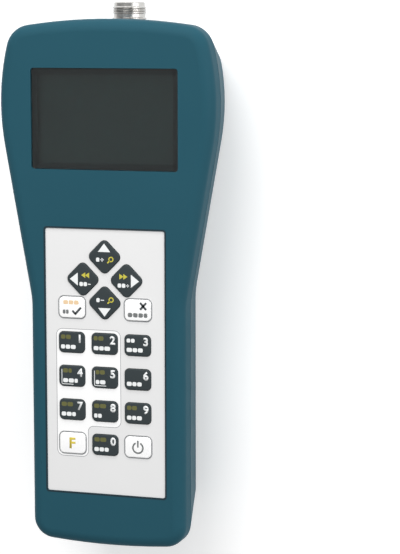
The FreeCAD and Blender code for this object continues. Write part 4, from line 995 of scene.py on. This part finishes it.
def cancel_key_marks():
    """A dark cross, with a grey label of dashes."""
    middle, z = key_face("key_cancel")
    body = key_body("key_cancel")
    centre = beside(middle, across=2.7, up=1.9)
    cross = [
        slanted_dash(*centre, z, width=4.4 * MM, height=1.0 * MM, degrees=slant)
        for slant in (48, -48)
    ]
    inked("key_cancel_dark_ink", cross, body, "dark_ink")
    lower = beside(middle, across=-4.7, up=-2.3)
    grey = dash_row(*lower, z, widths=(2.2, 2.2, 2.2, 1.8), height=2.0, gap=0.35)
    inked("key_cancel_grey_ink", grey, body, "grey_ink")


def function_key_marks():
    """The letter F in dark yellow."""
    middle, z = key_face("key_function")
    mode = [letter("F", middle.x, middle.y, z, height=4.9 * MM, weight=0.2 * MM)]
    inked("key_function_yellow_ink", mode, key_body("key_function"), "gold_ink")


def power_key_marks():
    """The common power symbol: an open ring with a bar in its gap."""
    middle, z = key_face("key_power")
    stroke = 0.75 * MM
    centre = beside(middle, up=-0.3)
    top = beside(middle, up=1.5)
    power = [
        ring(*centre, z, radius=2.8 * MM, stroke=stroke, opening=2.4 * MM),
        dash(*top, z, width=stroke, height=3.2 * MM),
    ]
    inked("key_power_grey_ink", power, key_body("key_power"), "grey_ink")


def flat_frame(x_span, y_span, z, width, corner):
    """A thin flat frame, its outside as given and its inside smaller by the width on every side."""
    bpy.ops.mesh.primitive_plane_add(size=1, location=(sum(x_span) / 2, sum(y_span) / 2, z))
    frame_piece = bpy.context.object
    frame_piece.scale = (x_span[1] - x_span[0], y_span[1] - y_span[0], 1)
    settle(frame_piece)
    shape(frame_piece, "SELECT")
    bpy.ops.mesh.bevel(offset=corner, segments=6, affect="VERTICES")
    bpy.ops.mesh.inset(thickness=width)
    bpy.ops.mesh.delete(type="FACE")
    done()
    return frame_piece


def window_border():
    """The dark frame printed inside the window, over the ledge that carries it, its colour darkened as
    painted shade of the recess walls.
    """
    low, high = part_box("display_window")
    x_span = (low.x + NARROW_GAP, high.x - NARROW_GAP)
    y_span = (low.y + NARROW_GAP, high.y - NARROW_GAP)
    z = low.z + NARROW_GAP
    border = flat_frame(x_span, y_span, z, width=2.6 * MM, corner=1.2 * MM)
    inked("display_window_border_and_shade", [border], "housing", "border_ink_and_shade")


def shade_round_film():
    """A dark frame round the keypad film, laid as a thin sheet: painted shade of the narrow gap at the
    film's edge.
    """
    low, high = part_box("keypad_overlay")
    reach = 0.8 * MM
    x_span = (low.x - reach, high.x + reach)
    y_span = (low.y - reach, high.y + reach)
    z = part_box("front_cover")[1].z + INK_LIFT
    shade_ring = flat_frame(x_span, y_span, z, width=reach - NARROW_GAP, corner=1.5 * MM)
    inked("keypad_film_seam", [shade_ring], "housing", "painted_gap_shade")


def turned_piece(name, rings, axis_z, sides=72):
    """A body turned about the socket's axis through rings of (radius, place along Y)."""
    radius, y = rings[0]
    quarter_turn = (math.pi / 2, 0, 0)
    bpy.ops.mesh.primitive_circle_add(
        vertices=sides, radius=radius, location=(0, y, axis_z), rotation=quarter_turn
    )
    piece = settle(named(name))
    shape(piece, "SELECT")
    for next_radius, next_y in [*rings[1:], rings[0]]:
        bpy.ops.mesh.extrude_edges_move(TRANSFORM_OT_translate={"value": (0, next_y - y, 0)})
        ratio = next_radius / radius
        bpy.ops.transform.resize(value=(ratio, 1, ratio), center_override=(0, next_y, axis_z))
        radius, y = next_radius, next_y
    bpy.ops.mesh.select_all(action="SELECT")
    bpy.ops.mesh.remove_doubles(threshold=SAME_POINT)
    bpy.ops.mesh.normals_make_consistent(inside=False)
    done()
    return piece


def thread_rings(start, end, crest, root, pitch):
    """Rings of a thread's ridges, as near to the pitch as a whole number of them fits."""
    crest_starts = 0.42
    crest_ends = 0.58
    turns = int((end - start) / pitch)
    step = (end - start) / turns
    rings = []
    for turn in range(turns):
        foot = start + turn * step
        rings += [(root, foot), (crest, foot + step * crest_starts), (crest, foot + step * crest_ends)]
    return [*rings, (root, end)]


def threaded_jack():
    """The socket's metal body with its rolled threads, relief, nose and stepped mouth."""
    low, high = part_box("rf_jack")
    axis_z = (low.z + high.z) / 2
    back = low.y
    tip = high.y
    crest, root, pitch = 7.94 * MM, 7.39 * MM, 1.06 * MM
    relief, nose = 7.4 * MM, 7.2 * MM
    bore, mouth, mouth_depth = 3.2 * MM, 4.07 * MM, 9.0 * MM
    tail, tail_length = 6.0 * MM, 5.4 * MM
    flange, flange_thickness = 10.5 * MM, 3.0 * MM
    flange_back = back + tail_length
    flange_front = flange_back + flange_thickness
    relief_low, relief_high = tip - 7.0 * MM, tip - 5.5 * MM
    shoulder = tip - 1.9 * MM
    chamfer = 0.4 * MM
    rings = [
        (bore, back),
        (tail, back),
        (tail, flange_back),
        (flange - chamfer, flange_back),
        (flange, flange_back + chamfer),
        (flange, flange_front),
        *thread_rings(flange_front, relief_low, crest, root, pitch),
        (relief, relief_low),
        (relief, relief_high),
        *thread_rings(relief_high, shoulder, crest, root, pitch),
        (nose, shoulder),
        (nose, tip - chamfer),
        (nose - chamfer, tip),
        (mouth + chamfer, tip),
        (mouth, tip - chamfer),
        (mouth, tip - mouth_depth),
        (bore, tip - mouth_depth),
    ]
    jack = turned_piece("rf_jack_threaded", rings, axis_z)
    smooth(jack)
    dress(jack, "housing", "nickel_plate")
    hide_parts("rf_jack")


def chamfered_nut():
    """The panel nut with its corners broken."""
    nut = copy_of("rf_nut", "rf_nut_chamfered")
    sharp = math.radians(40)
    shape(nut)
    pick(nut, "edges", lambda edge: len(edge.link_faces) == 2 and edge.calc_face_angle(0) > sharp)
    round_edges(0.35 * MM, segments=2)
    done()
    smooth(nut)
    dress(nut, "housing", "nickel_plate")
    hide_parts("rf_nut")


def head_middles(screws, head_low):
    """The middle of each screw's head, from the points on its flat end."""
    head_reach = 4 * MM
    heads = []
    for vert in screws.data.vertices:
        if vert.co.z >= head_low + SAME_HEIGHT:
            continue
        place = vert.co.xy.copy()
        near = [head for head in heads if (head[0] - place).length < head_reach]
        if near:
            near[0].append(place)
        else:
            heads.append([place])
    return [sum(places, Vector((0, 0))) / len(places) for places in heads]


def cross_recess_screws():
    """The case screws with a cross driven into each head."""
    screws = copy_of("case_screws", "case_screws_cross")
    head_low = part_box("case_screws")[0].z
    shape(screws)
    pick(screws, "edges", lambda edge: all(vert.co.z < head_low + SAME_HEIGHT for vert in edge.verts))
    round_edges(0.5 * MM, segments=3)
    done()
    bar_width, bar_length, bar_height = 0.7 * MM, 3.2 * MM, 2.2 * MM
    bars = []
    for middle in head_middles(screws, head_low):
        for across, along in ((bar_width, bar_length), (bar_length, bar_width)):
            bpy.ops.mesh.primitive_cube_add(size=1, location=(middle.x, middle.y, head_low))
            bar = bpy.context.object
            bar.scale = (across, along, bar_height)
            bars.append(settle(bar))
    cutter = join("recess_cutter", bars)
    recess = screws.modifiers.new("recess", "BOOLEAN")
    recess.object = cutter
    recess.operation = "DIFFERENCE"
    recess.use_self = True
    apply_modifiers(screws)
    bpy.data.objects.remove(cutter)
    smooth(screws)
    dress(screws, "housing", "plated_steel")
    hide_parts("case_screws")


def make_camera():
    up = CAMERA_BACK.cross(CAMERA_RIGHT)
    axes = Matrix((CAMERA_RIGHT, up, CAMERA_BACK)).transposed().to_4x4()
    data = bpy.data.cameras.new("view")
    data.lens = CAMERA_LENS
    data.clip_start = CAMERA_NEAR
    data.clip_end = CAMERA_FAR
    camera = bpy.data.objects.new("view", data)
    camera.matrix_world = Matrix.Translation(CAMERA_PLACE) @ axes
    bpy.context.scene.collection.objects.link(camera)
    bpy.context.scene.camera = camera


def make_floor():
    """A pale floor that keeps the object's shadow and is clear from below."""
    bpy.ops.mesh.primitive_grid_add(
        x_subdivisions=2, y_subdivisions=2, size=FLOOR_SIZE, location=(0, 0, -FLOOR_DROP)
    )
    floor = settle(named("pale_floor"))
    tree = new_material("pale_floor")
    tree.nodes.clear()
    path = tree.nodes.new("ShaderNodeLightPath").outputs
    seen = math_node(tree, "MAXIMUM", path["Is Camera Ray"], path["Is Glossy Ray"])
    seen = math_node(tree, "MAXIMUM", seen, path["Is Transmission Ray"])
    strength = math_node(tree, "MULTIPLY", seen, FLOOR_GLOW)
    glow = node_in(tree, "ShaderNodeEmission", Color=WHITE, Strength=strength).outputs[0]
    diffuse = node_in(tree, "ShaderNodeBsdfDiffuse", Color=FLOOR_GREY).outputs[0]
    pale = node_in(tree, "ShaderNodeAddShader", in_order=(diffuse, glow)).outputs[0]
    clear = node_in(tree, "ShaderNodeBsdfTransparent", Color=WHITE).outputs[0]
    under = tree.nodes.new("ShaderNodeNewGeometry").outputs["Backfacing"]
    surface = node_in(tree, "ShaderNodeMixShader", in_order=(under, pale, clear)).outputs[0]
    node_in(tree, "ShaderNodeOutputMaterial", Surface=surface)
    floor.data.materials.append(MATERIALS["pale_floor"])


def make_room():
    """A pale surround that lights the object softly from every side."""
    world = bpy.data.worlds.new("pale_room")
    bpy.context.scene.world = world
    world.use_nodes = True
    background = world.node_tree.nodes["Background"]
    background.inputs["Color"].default_value = WHITE
    background.inputs["Strength"].default_value = ROOM_STRENGTH


def area_lamp(name, place, target, size, power):
    data = bpy.data.lights.new(name, "AREA")
    data.shape = "RECTANGLE"
    data.size, data.size_y = size
    data.energy = power
    lamp = bpy.data.objects.new(name, data)
    direction = Vector(place) - Vector(target)
    lamp.rotation_mode = "QUATERNION"
    lamp.rotation_quaternion = direction.to_track_quat("Z", "Y")
    lamp.location = place
    bpy.context.scene.collection.objects.link(lamp)


def make_lamps():
    """A lamp high beyond the head, one at the right side, and one low beyond the socket."""
    area_lamp("key_lamp", place=(-0.14, 0.68, 0.95), target=LAMP_TARGET, size=(0.7, 0.5), power=6.2)
    area_lamp("side_lamp", place=(0.9, 0.15, 0.45), target=LAMP_TARGET, size=(0.3, 0.8), power=3.6)
    area_lamp("top_lamp", place=(0.0, 0.9, 0.35), target=HEAD_TARGET, size=(0.8, 0.25), power=4.0)


bpy.context.scene.view_settings.view_transform = "Standard"
make_camera()
make_floor()
make_room()
make_lamps()
make_mouldings()
make_inks()
make_metals()
make_inner_finishes()
make_printed_film()
make_smoked_window()
finish_cad_nodes()
soft_keys()
digit_key_marks()
arrow_key_marks()
ok_key_marks()
cancel_key_marks()
function_key_marks()
power_key_marks()
window_border()
# Painted shade round the keypad film
shade_round_film()
threaded_jack()
chamfered_nut()
cross_recess_screws()
